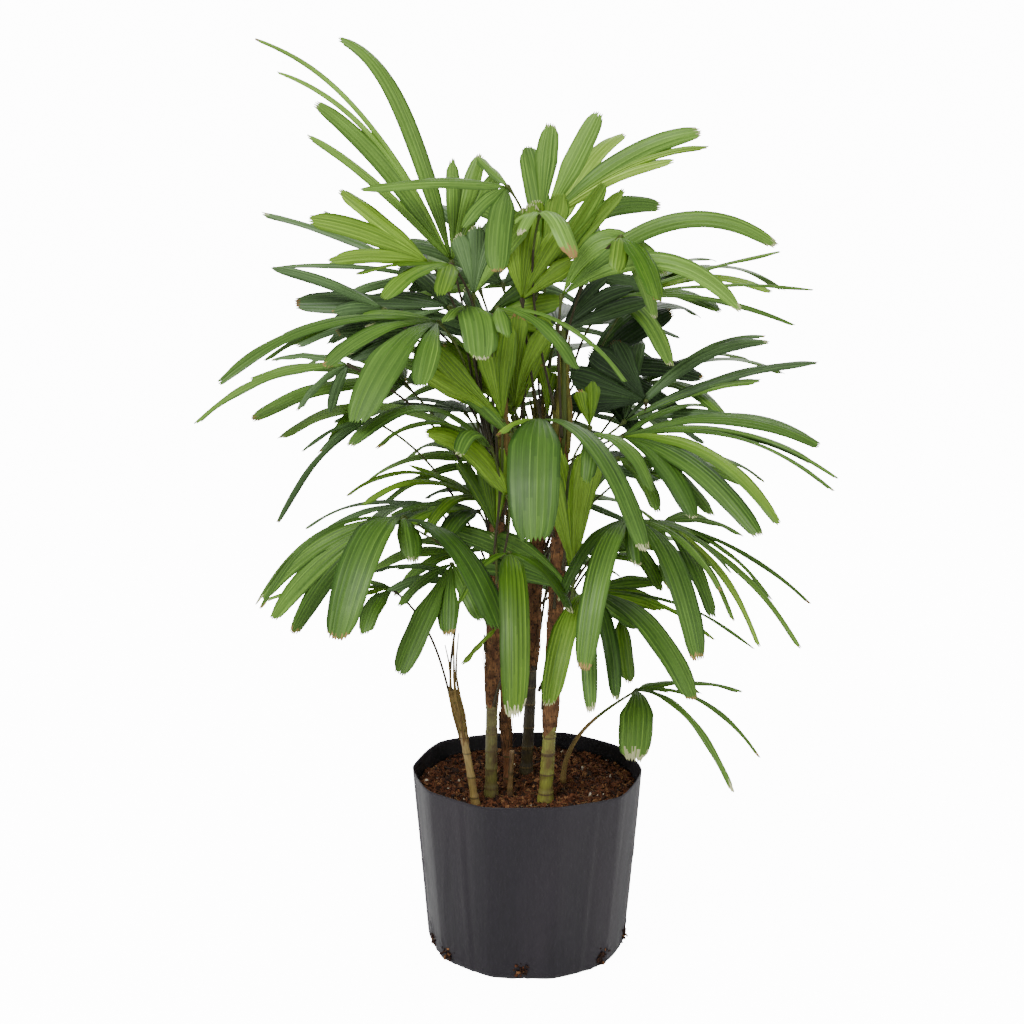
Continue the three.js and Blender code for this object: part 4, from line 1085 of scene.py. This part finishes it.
# %% Leaflets into pieces
def add_blade(sheaf, fan, way, rng):
    """One closed leaflet added to a sheaf."""
    top, above, u, kinds, shares, half = blade_grid(fan, way, rng)
    rows, columns = top.shape[:2]
    slim = SHEET * (1 - 0.5 * np.abs(u))[None, :, None]
    points = np.concatenate([top.reshape(-1, 3), (top - above * slim).reshape(-1, 3)])
    index = np.arange(rows * columns).reshape(rows, columns)
    below = index + rows * columns
    upper = np.stack([index[:-1, :-1], index[1:, :-1], index[1:, 1:], index[:-1, 1:]], -1).reshape(-1, 4)
    lower = np.stack([below[:-1, :-1], below[:-1, 1:], below[1:, 1:], below[1:, :-1]], -1).reshape(-1, 4)
    rim = []
    for first, second, low_first, low_second in (
            (index[1:, 0], index[:-1, 0], below[1:, 0], below[:-1, 0]),
            (index[:-1, -1], index[1:, -1], below[:-1, -1], below[1:, -1]),
            (index[0, :-1], index[0, 1:], below[0, :-1], below[0, 1:]),
            (index[-1, 1:], index[-1, :-1], below[-1, 1:], below[-1, :-1])):
        rim.append(np.stack([first, second, low_second, low_first], -1))
    rim = np.concatenate(rim)
    over, under = blade_paint(fan, way, kinds, shares, rng)
    paint = list(over.ravel()) + list(under.ravel()) + [under[0, 0]] * len(rim)
    place = np.stack([np.broadcast_to(u[None, :] * half[:, None], (rows, columns)),
                      np.broadcast_to(shares[:, None] * way["length"], (rows, columns))], -1).reshape(-1, 2)
    place = place + rng.uniform(0, 4000, 2)
    sheaf.add(points, np.concatenate([upper, lower, rim]), paint, np.concatenate([place, place]))


PARTS = {}
for plan in PLANS:
    fan = plan["fan"]
    rng = np.random.default_rng(1000 + plan["number"])
    sheaf = PARTS.setdefault(fan["part"], Sheaf())
    for way in plan["ways"]:
        add_blade(sheaf, fan, way, rng)
for part, sheaf in PARTS.items():
    piece = sheaf.piece(f"leaflets_{part}")
    solids = [plan["fan"]["name"] for plan in PLANS if plan["fan"]["part"] == part != "heart"]
    if solids:
        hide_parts(*solids)

# %% [markdown]
# ## Leaf stalks
# A stalk is a smooth wiry rod, three millimetres thick, a little swollen where it leaves the cane
# and at the knuckle that holds the leaflets. A curve object with a bevel would do; a tube walked
# along the stalk's own curve lets its radius and its colour change on the way.

# %% Stalks
STALK_STEPS = 24
STALK_THICK, KNUCKLE = 1.5, 3.4   # radius along the stalk, and where the leaflets meet
STALK_BASE = 0.8                  # added to the radius where the stalk leaves its cane
BASE_SHARE, KNUCKLE_SHARE = 0.12, 0.04   # of its length, over which it swells at either end
SHOOT_THICKER = 2.0               # a young shoot from the mix is this much thicker at its foot

stalks = Sheaf()
for plan in PLANS:
    rng = random.Random(plan["number"])
    shoot = "foot" in plan["fan"]
    line, radii = [], []
    for step in range(STALK_STEPS + 1):
        share = step / STALK_STEPS
        line.append(on_curve(plan["curve"], share))
        foot = max(0.0, 1 - share / BASE_SHARE)
        head = max(0.0, 1 - (1 - share) / KNUCKLE_SHARE)
        radius = STALK_THICK + STALK_BASE * foot + (KNUCKLE - STALK_THICK) * head
        radii.append(radius + shoot * SHOOT_THICKER * (1 - share))
    end = (plan["curve"][3] - plan["curve"][2]).normalized()
    line.append(line[-1] + end * 3.0)
    radii.append(KNUCKLE * 0.55)
    points, faces = tube(line, radii, 8)
    brown = rng.uniform(0.2, 1.0)
    grain = [(k % 8 * 1.5, k // 8 * 8.0) for k in range(len(points))]
    low = "stalk_tan" if shoot else "stalk_brown"
    paint = [low if index < brown * len(faces) else "stalk_green" for index in range(len(faces))]
    stalks.add(points, faces, paint, grain)
piece = stalks.piece("leaf_stalks")
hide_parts(*[plan["fan"]["name"] for plan in PLANS if plan["fan"]["part"] != "heart"])

# %% [markdown]
# ## Canes
# The bare lower part of a cane is smooth and olive, with a scar ring wherever an old leaf has
# dropped, every three centimetres or so. Higher up the bases of old leaves stay on and wrap the
# cane in a coarse brown net of fibres, or a young thin cane in a smooth tan sheath. Displacing a
# cylinder with a texture would give the rings and the fibres one look all round. Here each row
# of points gets its radius from the rings, and above the bare part every point gets its own
# height from crossing fibre waves, so the relief is real and the ragged edge of the sheath can
# be cut along it.

# %% Cane finishes
CANE_COLOURS = {
    "cane_thin_left": ((148, 126, 72), (112, 88, 50)),
    "cane_left": ((112, 108, 56), (78, 62, 36)),
    "cane_red": ((138, 92, 58), (86, 54, 36)),
    "cane_stub": ((120, 96, 58), (70, 48, 30)),
    "cane_back": ((74, 66, 40), (44, 34, 22)),
    "cane_front": ((134, 136, 58), (96, 80, 40)),
}
FIBRE_COLOURS = {
    "fibre_brown": ((152, 108, 70), (86, 58, 38)), "fibre_dark": ((112, 82, 54), (60, 42, 28)),
    "fibre_straw": ((164, 132, 86), (104, 78, 48)), "sheath_olive": ((124, 126, 52), (84, 78, 36)),
    "sheath_tan": ((150, 126, 70), (104, 84, 46)),
}


def cane_finish(name, skin_colour, patch_colour):
    """Smooth cane skin: fine lines up the cane and darker weathered patches."""
    tree, skin = new_finish(name, 0.42, 0.4)
    place = tree.nodes.new("ShaderNodeTexCoord")
    grain = place_group(tree, LONG_GRAIN, Vector=place.outputs["UV"], Colour=srgb(*skin_colour), Lines=700.0,
                        Stretch=0.08, Contrast=0.35, Depth=0.0002)
    patches = place_group(tree, MOTTLING, Vector=place.outputs["UV"], Colour=grain.outputs["Colour"],
                          Patches=srgb(*patch_colour), Size=55.0, Share=0.45, Softness=0.1)
    tree.links.new(patches.outputs["Colour"], skin.inputs["Base Color"])
    tree.links.new(spread(tree, patches.outputs["Mask"], 0, 1, 0.4, 0.62), skin.inputs["Roughness"])
    add_relief(tree, skin, grain.outputs["Height"], 0.7)


def fibre_finish(name, light, dark):
    """Dry fibre, light on its threads and dark between them."""
    tree, skin = new_finish(name, 0.85, 0.25)
    place = tree.nodes.new("ShaderNodeTexCoord")
    grain = place_group(tree, LONG_GRAIN, Vector=place.outputs["UV"], Colour=srgb(*light), Lines=1300.0,
                        Stretch=0.06, Contrast=0.65, Depth=0.0006)
    patches = place_group(tree, MOTTLING, Vector=place.outputs["UV"], Colour=grain.outputs["Colour"],
                          Patches=srgb(*dark), Size=90.0, Share=0.5, Softness=0.12)
    tree.links.new(patches.outputs["Colour"], skin.inputs["Base Color"])
    add_relief(tree, skin, grain.outputs["Height"], 0.9)


for name, (skin_colour, patch_colour) in CANE_COLOURS.items():
    cane_finish(f"skin_of_{name}", skin_colour, patch_colour)
cane_finish("scar_ring", (106, 92, 54), (76, 60, 38))
cane_finish("cut_wood", (176, 150, 104), (128, 98, 60))
for name, (light, dark) in FIBRE_COLOURS.items():
    fibre_finish(name, light, dark)
print(len(CANE_COLOURS) + 2, "cane skins and", len(FIBRE_COLOURS), "kinds of fibre")

# %% Rings and fibre relief
CANE_SIDES, CANE_ROW = 28, 2.2    # points round a cane, and the usual distance between rows
RING_GAP = 27                     # usual distance between scar rings
RING_SWELL, RING_GROOVE = 0.7, 0.5
FIBRE_RELIEF = 1.3                # how far the fibre net stands out
SHEATH_RAGGED = 16                # how far up and down the edge of the fibre wanders


def ring_heights(cane, rng):
    """Heights of the scar rings, at uneven gaps up the cane."""
    heights, height = [], MIX_TOP + 9.0
    while height < cane["top"][2] - 8:
        heights.append(height)
        height += RING_GAP * rng.uniform(0.75, 1.2)
    return heights


def fibre_height(turn, height, seed):
    """Two sets of waves that cross like the threads of a fibre net, broken up by noise."""
    here = Vector((math.cos(turn) * 2, math.sin(turn) * 2, height * 0.05 + seed * 10))
    wander = noise.noise(here) * 3
    one = abs(math.sin(turn * 5 + height * 0.13 + wander))
    other = abs(math.sin(turn * 6 - height * 0.10 - wander))
    patch = 0.5 + 0.5 * noise.noise(here * 1.7 + Vector((7, 3, 1)))
    return FIBRE_RELIEF * (0.55 * max(one, other) ** 3 + 0.7 * patch - 0.4)


print("scar rings on the front cane:", len(ring_heights(CANES["cane_front"], random.Random(0))))

# %% Cane bodies
SCAR = (-3.2, -0.6)               # the scar's colour, from and to this height against its ring
YOUNG_WRAP = 60                   # a cane with less wrap than this is young, and its wrap is tan
DARKER_WRAP = 0.12                # share of the wrap in its second colour


def cane_body(name, cane, number):
    """The cane as a closed mesh, its rings and its fibre wrap in relief."""
    rng = random.Random(40 + number)
    heights = ring_heights(cane, rng)
    start, end = MIX_TOP - 6.0, cane["top"][2]
    count = int((end - start) / CANE_ROW) + 1
    points, grain, levels = [], [], []
    for row in range(count + 1):
        height = start + (end - start) * row / count
        centre = cane_line(cane, cane_share(cane, height)) if height > MIX_TOP + CLEAR else cane_line(cane, 0)
        centre.z = height
        nearest = min(heights, key=lambda ring: abs(ring - height))
        near = height - nearest
        swell = RING_SWELL * math.exp(-(near / 2.6) ** 2) - RING_GROOVE * math.exp(-((near + 2.4) / 1.1) ** 2)
        for k in range(CANE_SIDES):
            turn = 2 * math.pi * k / CANE_SIDES
            side = Vector((math.cos(turn), math.sin(turn), 0))
            edge = cane["sheath"] + SHEATH_RAGGED * noise.noise(side + UP * number * 5.0)
            wrapped = min(1.0, max(0.0, (height - edge) / 6))
            bare = cane_radius(cane, max(height, MIX_TOP)) - 0.5
            lumps = 0.35 * noise.noise(side + UP * (height * 0.03 + number))
            radius = bare + (1 - wrapped) * (swell + lumps) + wrapped * fibre_height(turn, height, number)
            points.append(centre + side * radius)
            grain.append((turn * cane["radius"], height))
            levels.append((wrapped, near))
    faces = rings(count + 1, CANE_SIDES)
    young = cane["sheath"] > cane["top"][2] - YOUNG_WRAP
    wraps = ("sheath_tan", "sheath_olive") if young else ("fibre_brown", "fibre_dark")
    paint = []
    for index, face in enumerate(faces):
        if index >= count * CANE_SIDES:
            paint.append("cut_wood")
            continue
        wrapped, near = levels[face[0]]
        if wrapped > 0.5:
            paint.append(wraps[int(rng.random() < DARKER_WRAP)])
        else:
            paint.append("scar_ring" if SCAR[0] < near < SCAR[1] else f"skin_of_{name}")
    sheaf = Sheaf()
    sheaf.add(points, faces, paint, grain)
    return sheaf


for number, (name, cane) in enumerate(CANES.items()):
    piece = cane_body(name, cane, number).piece(f"{name}_bark")
    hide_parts(name)

# %% [markdown]
# ## Fibre and old leaf bases
# Loose threads fray from the edge of every sheath, and the stumps of cut or fallen leaves stand
# up from it like small pegs. At the very top the bases are still green, and each clasps the
# cane and runs on upwards as the stalk of a young leaf. Particles would be lost with the
# export, so the threads are thin four-sided tubes in one joined mesh, laid against the cane and
# curling away at their ends.

# %% Threads and stumps
THREADS_PER_CANE = 70             # on a cane with 25 cm or more of fibre
THREAD_RADIUS = 0.42
LEAST_WRAP = 40                   # a cane with less fibre than this has no threads and no stumps


def beside(cane, turn, height, gap):
    """A point beside a cane, gap millimetres off its surface."""
    centre = cane_line(cane, cane_share(cane, height))
    reach = cane_radius(cane, height) + gap
    return Vector((centre.x + math.cos(turn) * reach, centre.y + math.sin(turn) * reach, height))


def thread(cane, rng):
    """One frayed thread, close to the cane below and curling off above."""
    low = rng.uniform(cane["sheath"] - 8, cane["top"][2] - 70)
    length, turn = rng.uniform(18, 55), rng.uniform(0, 2 * math.pi)
    swing, lift = rng.uniform(-0.9, 0.9), rng.uniform(0.5, 7.0)
    line = []
    for step in range(7):
        share = step / 6
        line.append(beside(cane, turn + swing * share, low + length * share * (1 - 0.25 * share),
                           0.2 + lift * share ** 2.2))
    return line


def stump(cane, turn, low, length, lean):
    """The peg of an old stalk: its line and its radii."""
    line, radii = [], []
    for step in range(6):
        share = step / 5
        line.append(beside(cane, turn, low + length * share, 0.4 + lean * share))
        radii.append(2.3 * (1 - 0.5 * share) if step < 5 else 0.8)
    return line, radii


print("a stump's radius at its foot is", stump(CANES["cane_left"], 0, 400, 20, 1)[1][0], "mm")

# %% Young leaf bases
YOUNG_BASES = 8                   # leaf bases that clasp the top of a cane
YOUNG_RADII = (1.8, 3.2, 3.4, 3.0, 2.2, 1.3)
FULL_TIP = 6.5                    # a cane with a slimmer tip than this has slimmer bases


def young_base(cane, turn, rise, lean):
    """A leaf base that clasps the top of its cane and runs on upwards as a young stalk."""
    top = cane["top"][2]
    out = Vector((math.cos(turn), math.sin(turn), 0))
    wide = cane_radius(cane, top - 1)
    line = [beside(cane, turn, top - down, gap) for down, gap in ((62, 0.2), (30, 0.8), (6, 0.2))]
    for share, reach in ((0.25, wide * 0.6), (0.6, wide * 0.5 + lean * 0.3), (1, wide * 0.5 + lean)):
        line.append(cane_line(cane, 1) + out * reach + UP * rise * share)
    return line


print("a young base has", len(young_base(CANES["cane_left"], 0, 60, 5)), "points along its line")

# %% Fibre and bases into pieces
threads, stumps = Sheaf(), Sheaf()
for number, (name, cane) in enumerate(CANES.items()):
    rng = random.Random(70 + number)
    room = cane["top"][2] - cane["sheath"]
    if room < LEAST_WRAP:
        continue
    for _ in range(int(THREADS_PER_CANE * min(1, room / 250))):
        line = thread(cane, rng)
        thick = THREAD_RADIUS * rng.uniform(0.6, 1.3)
        points, faces = tube(line, [thick * (1 - 0.7 * k / 6) for k in range(7)], 4)
        threads.add(points, faces, rng.choice(["fibre_brown", "fibre_brown", "fibre_dark", "fibre_straw"]),
                    [(k % 4, k // 4 * 5.0) for k in range(len(points))])
    turn = rng.uniform(0, 6)
    for low in range(int(cane["sheath"]) + 30, int(cane["top"][2]) - 60, 42):
        turn += 2.4
        line, radii = stump(cane, turn, low, rng.uniform(14, 34), rng.uniform(0.4, 2.2))
        points, faces = tube(line, radii, 8)
        stumps.add(points, faces, rng.choice(["fibre_brown", "fibre_dark", "stalk_brown"]),
                   [(k % 8, k // 8 * 6.0) for k in range(len(points))])
    bases = int(YOUNG_BASES * min(1, room / 100))
    slight = min(1, cane["tip"] / FULL_TIP) ** 2
    for k in range(bases):
        turn = 2 * math.pi * k / bases + rng.uniform(-0.3, 0.3)
        line = young_base(cane, turn, rng.uniform(45, 95), rng.uniform(0, 9))
        points, faces = tube(line, [slight * radius for radius in YOUNG_RADII], 8)
        stumps.add(points, faces, rng.choice(["stalk_green", "sheath_olive", "sheath_tan"]),
                   [(p % 8, p // 8 * 12.0) for p in range(len(points))])
for sheaf, name in ((threads, "fibre_threads"), (stumps, "old_leaf_bases")):
    sheaf.piece(name)

# %% [markdown]
# ## The grow bag
# The bag is thin black polythene. Filled with damp mix it stands like a pot, but its wall is
# never round: it falls in broad flats with soft upright folds between them, puckers round the
# drain holes and rounds under at the foot. Its rim is only a knife cut, a little wavy. Cloth
# would find such folds by itself, but not the same ones each time, so the wall is a grid pushed
# in and out by a sum of a few named folds.

# %% Folds of the bag
BAG = dict(base=126, rim=145, height=231, flats=10, flat=0.026, flat_turn=15, oval=0.006,
           rim_waves=3, rim_wave=2, rim_ripples=5, rim_ripple=1)
FILM = 1.1                        # wall of the film as drawn
CRISP = 0.9                       # how sharp the film's corners are: 0 waved, 1 creased
FOOT_ROUND = 9                    # radius of the rounded foot
RIM_FREE = 190                    # above this height the film hangs free and its rim wanders
BAG_SIDES, WALL_ROWS = 240, 66
FOLD_ROOM = 0.6                   # the film starts this far inside its solid, so its folds have room
# bearing in degrees and height of each hole, the drain holes low down and small tears above them
DRAIN_HOLES = ((-163, 15), (-143, 14), (-93, 14), (-43, 15), (-9, 16), (38, 15), (88, 14), (139, 15))
SIDE_HOLES = ((-171, 112), (-166, 34), (-8, 124), (52, 92), (118, 60))
FOLDS = tuple(                    # bearing in degrees, lean and depth of each upright fold
    (-176 + 29.5 * k + 9 * math.sin(2.3 * k), 0.35 * math.sin(1.7 * k), 0.7 + 0.5 * math.sin(3.1 * k + 1))
    for k in range(12))


def film_share(turn):
    """The film's drawn-in flats, as a share of the radius."""
    wave = math.cos(BAG["flats"] / 2 * (turn - math.radians(BAG["flat_turn"])))
    drawn = wave ** 2 + CRISP * (abs(wave) - wave ** 2)
    return 1 - BAG["flat"] * drawn - BAG["oval"] * math.sin(2 * turn)


def rim_lift(turn):
    """How far the knife cut of the rim wanders up or down."""
    return (BAG["rim_wave"] * math.sin(BAG["rim_waves"] * turn)
            + BAG["rim_ripple"] * math.cos(BAG["rim_ripples"] * turn))


def apart(turn, bearing):
    """The angle from a bearing in degrees, in radians from -pi to pi."""
    return (turn - math.radians(bearing) + math.pi) % (2 * math.pi) - math.pi


print("the flats draw the film in to", round(min(film_share(k / 50) for k in range(315)), 3), "of its radius")


# %% Push of the film
def film_push(turn, height):
    """How far the film stands out of or into its plain shape, in millimetres."""
    # broad and narrow waves
    push = 1.1 * noise.noise(Vector((math.cos(turn) * 1.6, math.sin(turn) * 1.6, height * 0.006)))
    push += 0.5 * noise.noise(Vector((math.cos(turn) * 6, math.sin(turn) * 6, height * 0.012 + 9)))
    # upright folds, each a ridge with a hollow beside it, that fade out at the foot and the rim
    for bearing, lean, depth in FOLDS:
        gap = apart(turn, bearing + lean * (height - 115) * 0.12) * BAG["base"]
        fade = 0.35 + 0.65 * math.sin(math.pi * min(1, max(0, height / BAG["height"]))) ** 0.5
        push += depth * fade * (math.exp(-(gap / 3.2) ** 2) - 0.8 * math.exp(-((gap - 6) / 5.0) ** 2))
    # a dent at each drain hole, with nine puckers round it
    for bearing, level in DRAIN_HOLES:
        gap, climb = apart(turn, bearing) * BAG["base"], height - level
        far = math.hypot(gap, climb)
        pucker = math.cos(9 * math.atan2(climb, gap)) * 0.9 * math.exp(-((far - 12) / 9) ** 2)
        push += pucker - 2.6 * math.exp(-(far / 6) ** 2)
    # a smaller dent with a raised edge at each tear
    for bearing, level in SIDE_HOLES:
        far = math.hypot(apart(turn, bearing) * BAG["base"], height - level)
        push += 0.8 * math.exp(-((far - 8) / 4) ** 2) - 2.2 * math.exp(-(far / 4.5) ** 2)
    return push * min(1.0, height / 10 + 0.15)


def wall_radius(turn, height):
    """The outside of the film at a bearing and a height."""
    plain = BAG["base"] + (BAG["rim"] - BAG["base"]) * height / BAG["height"]
    return plain * film_share(turn) + film_push(turn, height) - FOLD_ROOM


print("the rim's radius in front is", round(wall_radius(-math.pi / 2, BAG["height"]), 1), "mm")


# %% Rows of the film
def bag_profile():
    """The rows of the film, from under its floor to the inside of its rim: a kind and a measure.

    The measure is a radius on the floor, an angle round the foot and a height on the wall.
    """
    rows = [("floor", 24.0), ("floor", 60.0), ("floor", 95.0)]
    rows += [("foot", math.radians(a)) for a in (0, 18, 36, 54, 72, 90)]
    wall = BAG["height"] - FOOT_ROUND
    rows += [("wall", FOOT_ROUND + wall * k / WALL_ROWS) for k in range(1, WALL_ROWS + 1)]
    rows += [("edge", 0.0)]
    rows += [("inside", BAG["height"] - 2 - 6 * k) for k in range(9)]
    return rows


def bag_point(kind, value, turn):
    """A point of the film for one row and one bearing."""
    lift = rim_lift(turn)
    free = max(0.0, (value - RIM_FREE) / (BAG["height"] - RIM_FREE))
    if kind == "floor":
        radius, height = value, 0.0
    elif kind == "foot":
        outer = wall_radius(turn, FOOT_ROUND)
        radius, height = outer - FOOT_ROUND * (1 - math.sin(value)), FOOT_ROUND * (1 - math.cos(value))
    elif kind == "wall":
        radius, height = wall_radius(turn, value), value + lift * free
    elif kind == "edge":
        radius, height = wall_radius(turn, BAG["height"]) - FILM / 2, BAG["height"] + lift + 0.3
    else:
        radius, height = wall_radius(turn, value) - FILM, value + lift * free
    return (radius * math.cos(turn), radius * math.sin(turn), height)


print(len(bag_profile()), "rows of film")

# %% [markdown]
# ### The film's finish
# Blown film is satin black. Light from above shows the fine upright lines that the die drew in
# it, and shows them broken by crinkles and by dried dust. A scanned picture would repeat round
# the bag, so the grain and the mottling are placed here with their own values, and a noise adds
# the crinkles to the same relief.


# %% Film finish
def film_finish(name, colour, roughness):
    """Black film: satin, with fine crinkles, faint drawn lines and a little dry dust."""
    tree, skin = new_finish(name, roughness, 0.4)
    place = tree.nodes.new("ShaderNodeTexCoord")
    upright = put(tree, "ShaderNodeMapping", Vector=place.outputs["Object"], Scale=(1, 1, 0.25))
    lines = place_group(tree, LONG_GRAIN, Vector=place.outputs["UV"], Colour=colour, Lines=260.0,
                        Stretch=0.05, Contrast=0.14, Depth=0.0003)
    dust = place_group(tree, MOTTLING, Vector=upright.outputs[0], Colour=lines.outputs["Colour"],
                       Patches=srgb(46, 40, 47), Size=14.0, Share=0.3, Softness=0.25)
    tree.links.new(dust.outputs["Colour"], skin.inputs["Base Color"])
    uneven = spread(tree, dust.outputs["Mask"], 0, 1, roughness, roughness + 0.2)
    tree.links.new(uneven, skin.inputs["Roughness"])
    crinkle = put(tree, "ShaderNodeTexNoise", Vector=upright.outputs[0], Scale=90.0, Detail=6.0,
                  Roughness=0.6)
    soft = put(tree, "ShaderNodeBump", Height=lines.outputs["Height"], Strength=0.3, Distance=1.0)
    relief = put(tree, "ShaderNodeBump", Height=crinkle.outputs["Fac"], Strength=0.5, Distance=0.0012,
                 Normal=soft.outputs["Normal"])
    tree.links.new(relief.outputs["Normal"], skin.inputs["Normal"])


film_finish("black_film", srgb(24, 19, 28), 0.42)
film_finish("film_inside", srgb(18, 17, 19), 0.5)
print("film outside and inside")

# %% Film into a piece
rows = bag_profile()
points, grain = [], []
for kind, value in rows:
    for k in range(BAG_SIDES):
        turn = 2 * math.pi * k / BAG_SIDES
        points.append(bag_point(kind, value, turn))
        grain.append((turn * BAG["base"], points[-1][2]))
faces = rings(len(rows), BAG_SIDES)
inside_from = next(i for i, (kind, _) in enumerate(rows) if kind == "inside") * BAG_SIDES
paint = ["film_inside" if inside_from <= min(face) else "black_film" for face in faces]
film = Sheaf()
film.add(points, faces, paint, grain)
piece = film.piece("grow_bag")
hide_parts("bag")

# %% [markdown]
# ## Potting mix
# The mix is chopped coir and bark: damp, red-brown, and lumpy at every size. A bump map on a
# flat disc reads as paint from this close. The surface is a grid heaped by noise, and on it lie
# several thousand crumbs, each a small bent block, with a few pale grains and stray fibres. The
# same crumbs fill the drain holes, where the mix always works its way out.

# %% Mix finishes
def mix_finish(name, colour, patch):
    """Damp, gritty mix in two colours."""
    tree, skin = new_finish(name, 0.9, 0.2)
    place = tree.nodes.new("ShaderNodeTexCoord")
    clouds = place_group(tree, MOTTLING, Vector=place.outputs["Object"], Colour=srgb(*colour),
                         Patches=srgb(*patch), Size=420.0, Share=0.5, Softness=0.1)
    tree.links.new(clouds.outputs["Colour"], skin.inputs["Base Color"])
    grit = put(tree, "ShaderNodeTexNoise", Vector=place.outputs["Object"], Scale=900.0, Detail=3.0)
    add_relief(tree, skin, grit.outputs["Fac"], 0.8, 0.0008)


MIX_COLOURS = {
    "mix_red": ((104, 62, 38), (64, 36, 24)), "mix_dark": ((58, 36, 26), (32, 22, 18)),
    "mix_tan": ((146, 104, 68), (100, 66, 42)), "mix_pale": ((206, 196, 176), (160, 146, 124)),
}
for name, (colour, patch) in MIX_COLOURS.items():
    mix_finish(name, colour, patch)
print(len(MIX_COLOURS), "colours of mix")

# %% Mix surface
MIX_RINGS, MIX_SIDES = 60, 180


def mix_height(x, y):
    """The heaped surface of the mix."""
    coarse = noise.noise(Vector((x, y, 0)) * 0.02) * 4
    fine = noise.noise(Vector((x, y, 40)) * 0.11) * 2.4 + noise.noise(Vector((x, y, 80)) * 0.3) * 1.2
    return MIX_TOP - 2.5 + coarse + fine


points = []
for ring in range(MIX_RINGS + 1):
    for k in range(MIX_SIDES):
        turn = 2 * math.pi * k / MIX_SIDES
        edge = wall_radius(turn, MIX_TOP) - FILM - 0.3
        radius = 1.5 + (edge - 1.5) * ring / MIX_RINGS
        x, y = radius * math.cos(turn), radius * math.sin(turn)
        points.append((x, y, mix_height(x, y)))
for k in range(MIX_SIDES):
    turn = 2 * math.pi * k / MIX_SIDES
    radius = wall_radius(turn, MIX_TOP - 25) - FILM - 0.6
    points.append((radius * math.cos(turn), radius * math.sin(turn), MIX_TOP - 25))
ground = Sheaf()
rng = random.Random(5)
faces = rings(MIX_RINGS + 2, MIX_SIDES)
ground.add(points, faces, [rng.choice(["mix_red", "mix_red", "mix_dark"]) for _ in faces])
piece = ground.piece("potting_mix")
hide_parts("mix")

# %% Crumbs
CRUMBS = 7000
CRUMB_SHARES = (0.56, 0.3, 0.133, 0.007)   # of red, dark, tan and pale crumbs on the surface
PLUG_CRUMBS = 34                  # crumbs in each drain hole
SHADED_PLUG_SHARES = (0.1, 0.74, 0.14, 0.02)      # most are the dark mix, as painted shade for the hollow of each hole
CUBE = np.array([(x, y, z) for z in (-1, 1) for y in (-1, 1) for x in (-1, 1)], float)
CUBE_FACES = np.array([(0, 2, 3, 1), (4, 5, 7, 6), (0, 1, 5, 4), (2, 6, 7, 3), (0, 4, 6, 2), (1, 3, 7, 5)])


def crumb(place, size, rng):
    """A small bent block: the eight corners of a cube, each pushed about."""
    turn = rng.normal(size=(3, 3))
    turn = np.linalg.qr(turn)[0]
    stretch = size * rng.uniform([0.7, 0.5, 0.35], [1.5, 1.0, 0.8])
    corners = CUBE * stretch / 2 * rng.uniform(0.55, 1.1, (8, 3))
    if np.linalg.det(turn) < 0:
        turn[:, 0] *= -1
    return corners @ turn.T + np.array(place)


rng = np.random.default_rng(11)
crumbs = Sheaf()
kinds = ["mix_red", "mix_dark", "mix_tan", "mix_pale"]
for _ in range(CRUMBS):
    turn = rng.uniform(0, 2 * math.pi)
    radius = (wall_radius(turn, MIX_TOP) - 5) * math.sqrt(rng.uniform())
    x, y = radius * math.cos(turn), radius * math.sin(turn)
    size = rng.gamma(3.0, 0.9) + 1.2
    crumbs.add(crumb((x, y, mix_height(x, y) + size * 0.12), min(size, 9), rng), CUBE_FACES,
               str(rng.choice(kinds, p=CRUMB_SHARES)))
for bearing, level in DRAIN_HOLES:
    for _ in range(PLUG_CRUMBS):
        turn = math.radians(bearing) + rng.normal(0, 3.8) / BAG["base"]
        height = max(3.0, level + rng.normal(0, 4.6))
        radius = wall_radius(turn, height) + rng.uniform(-1.5, 2.2)
        place = (radius * math.cos(turn), radius * math.sin(turn), height)
        # mostly dark crumbs in each drain hole: painted shade for the hollow of the hole
        crumbs.add(crumb(place, rng.uniform(2.5, 5.0), rng), CUBE_FACES,
                   str(rng.choice(kinds, p=SHADED_PLUG_SHARES)))
piece = crumbs.piece("mix_crumbs", smooth=False)

# %% Stray fibres
STRAYS, STRAY_EDGE = 160, 130     # how many, and how far out they may lie
strays = Sheaf()
for _ in range(STRAYS):
    turn, radius = rng.uniform(0, 2 * math.pi), 128 * math.sqrt(rng.uniform())
    heading, length, bend = rng.uniform(0, 6.3), rng.uniform(8, 26), rng.uniform(-1.2, 1.2)
    x, y = radius * math.cos(turn), radius * math.sin(turn)
    line = []
    for step in range(5):
        line.append((x, y, mix_height(x, y) + 1.6 + rng.uniform(-0.3, 0.8)))
        x += math.cos(heading + bend * step / 4) * length / 4
        y += math.sin(heading + bend * step / 4) * length / 4
        if math.hypot(x, y) > STRAY_EDGE:
            break
    if len(line) == 5:
        tube_points, tube_faces = tube(line, [0.35] * 5, 4)
        strays.add(tube_points, tube_faces, "fibre_straw" if rng.random() < 0.4 else "fibre_brown")
strays.piece("mix_fibres")

# %% [markdown]
# ## Fit to the solids
# A dressed part must still fit the place that its solids take, or it would touch its neighbours
# in a bigger scene.
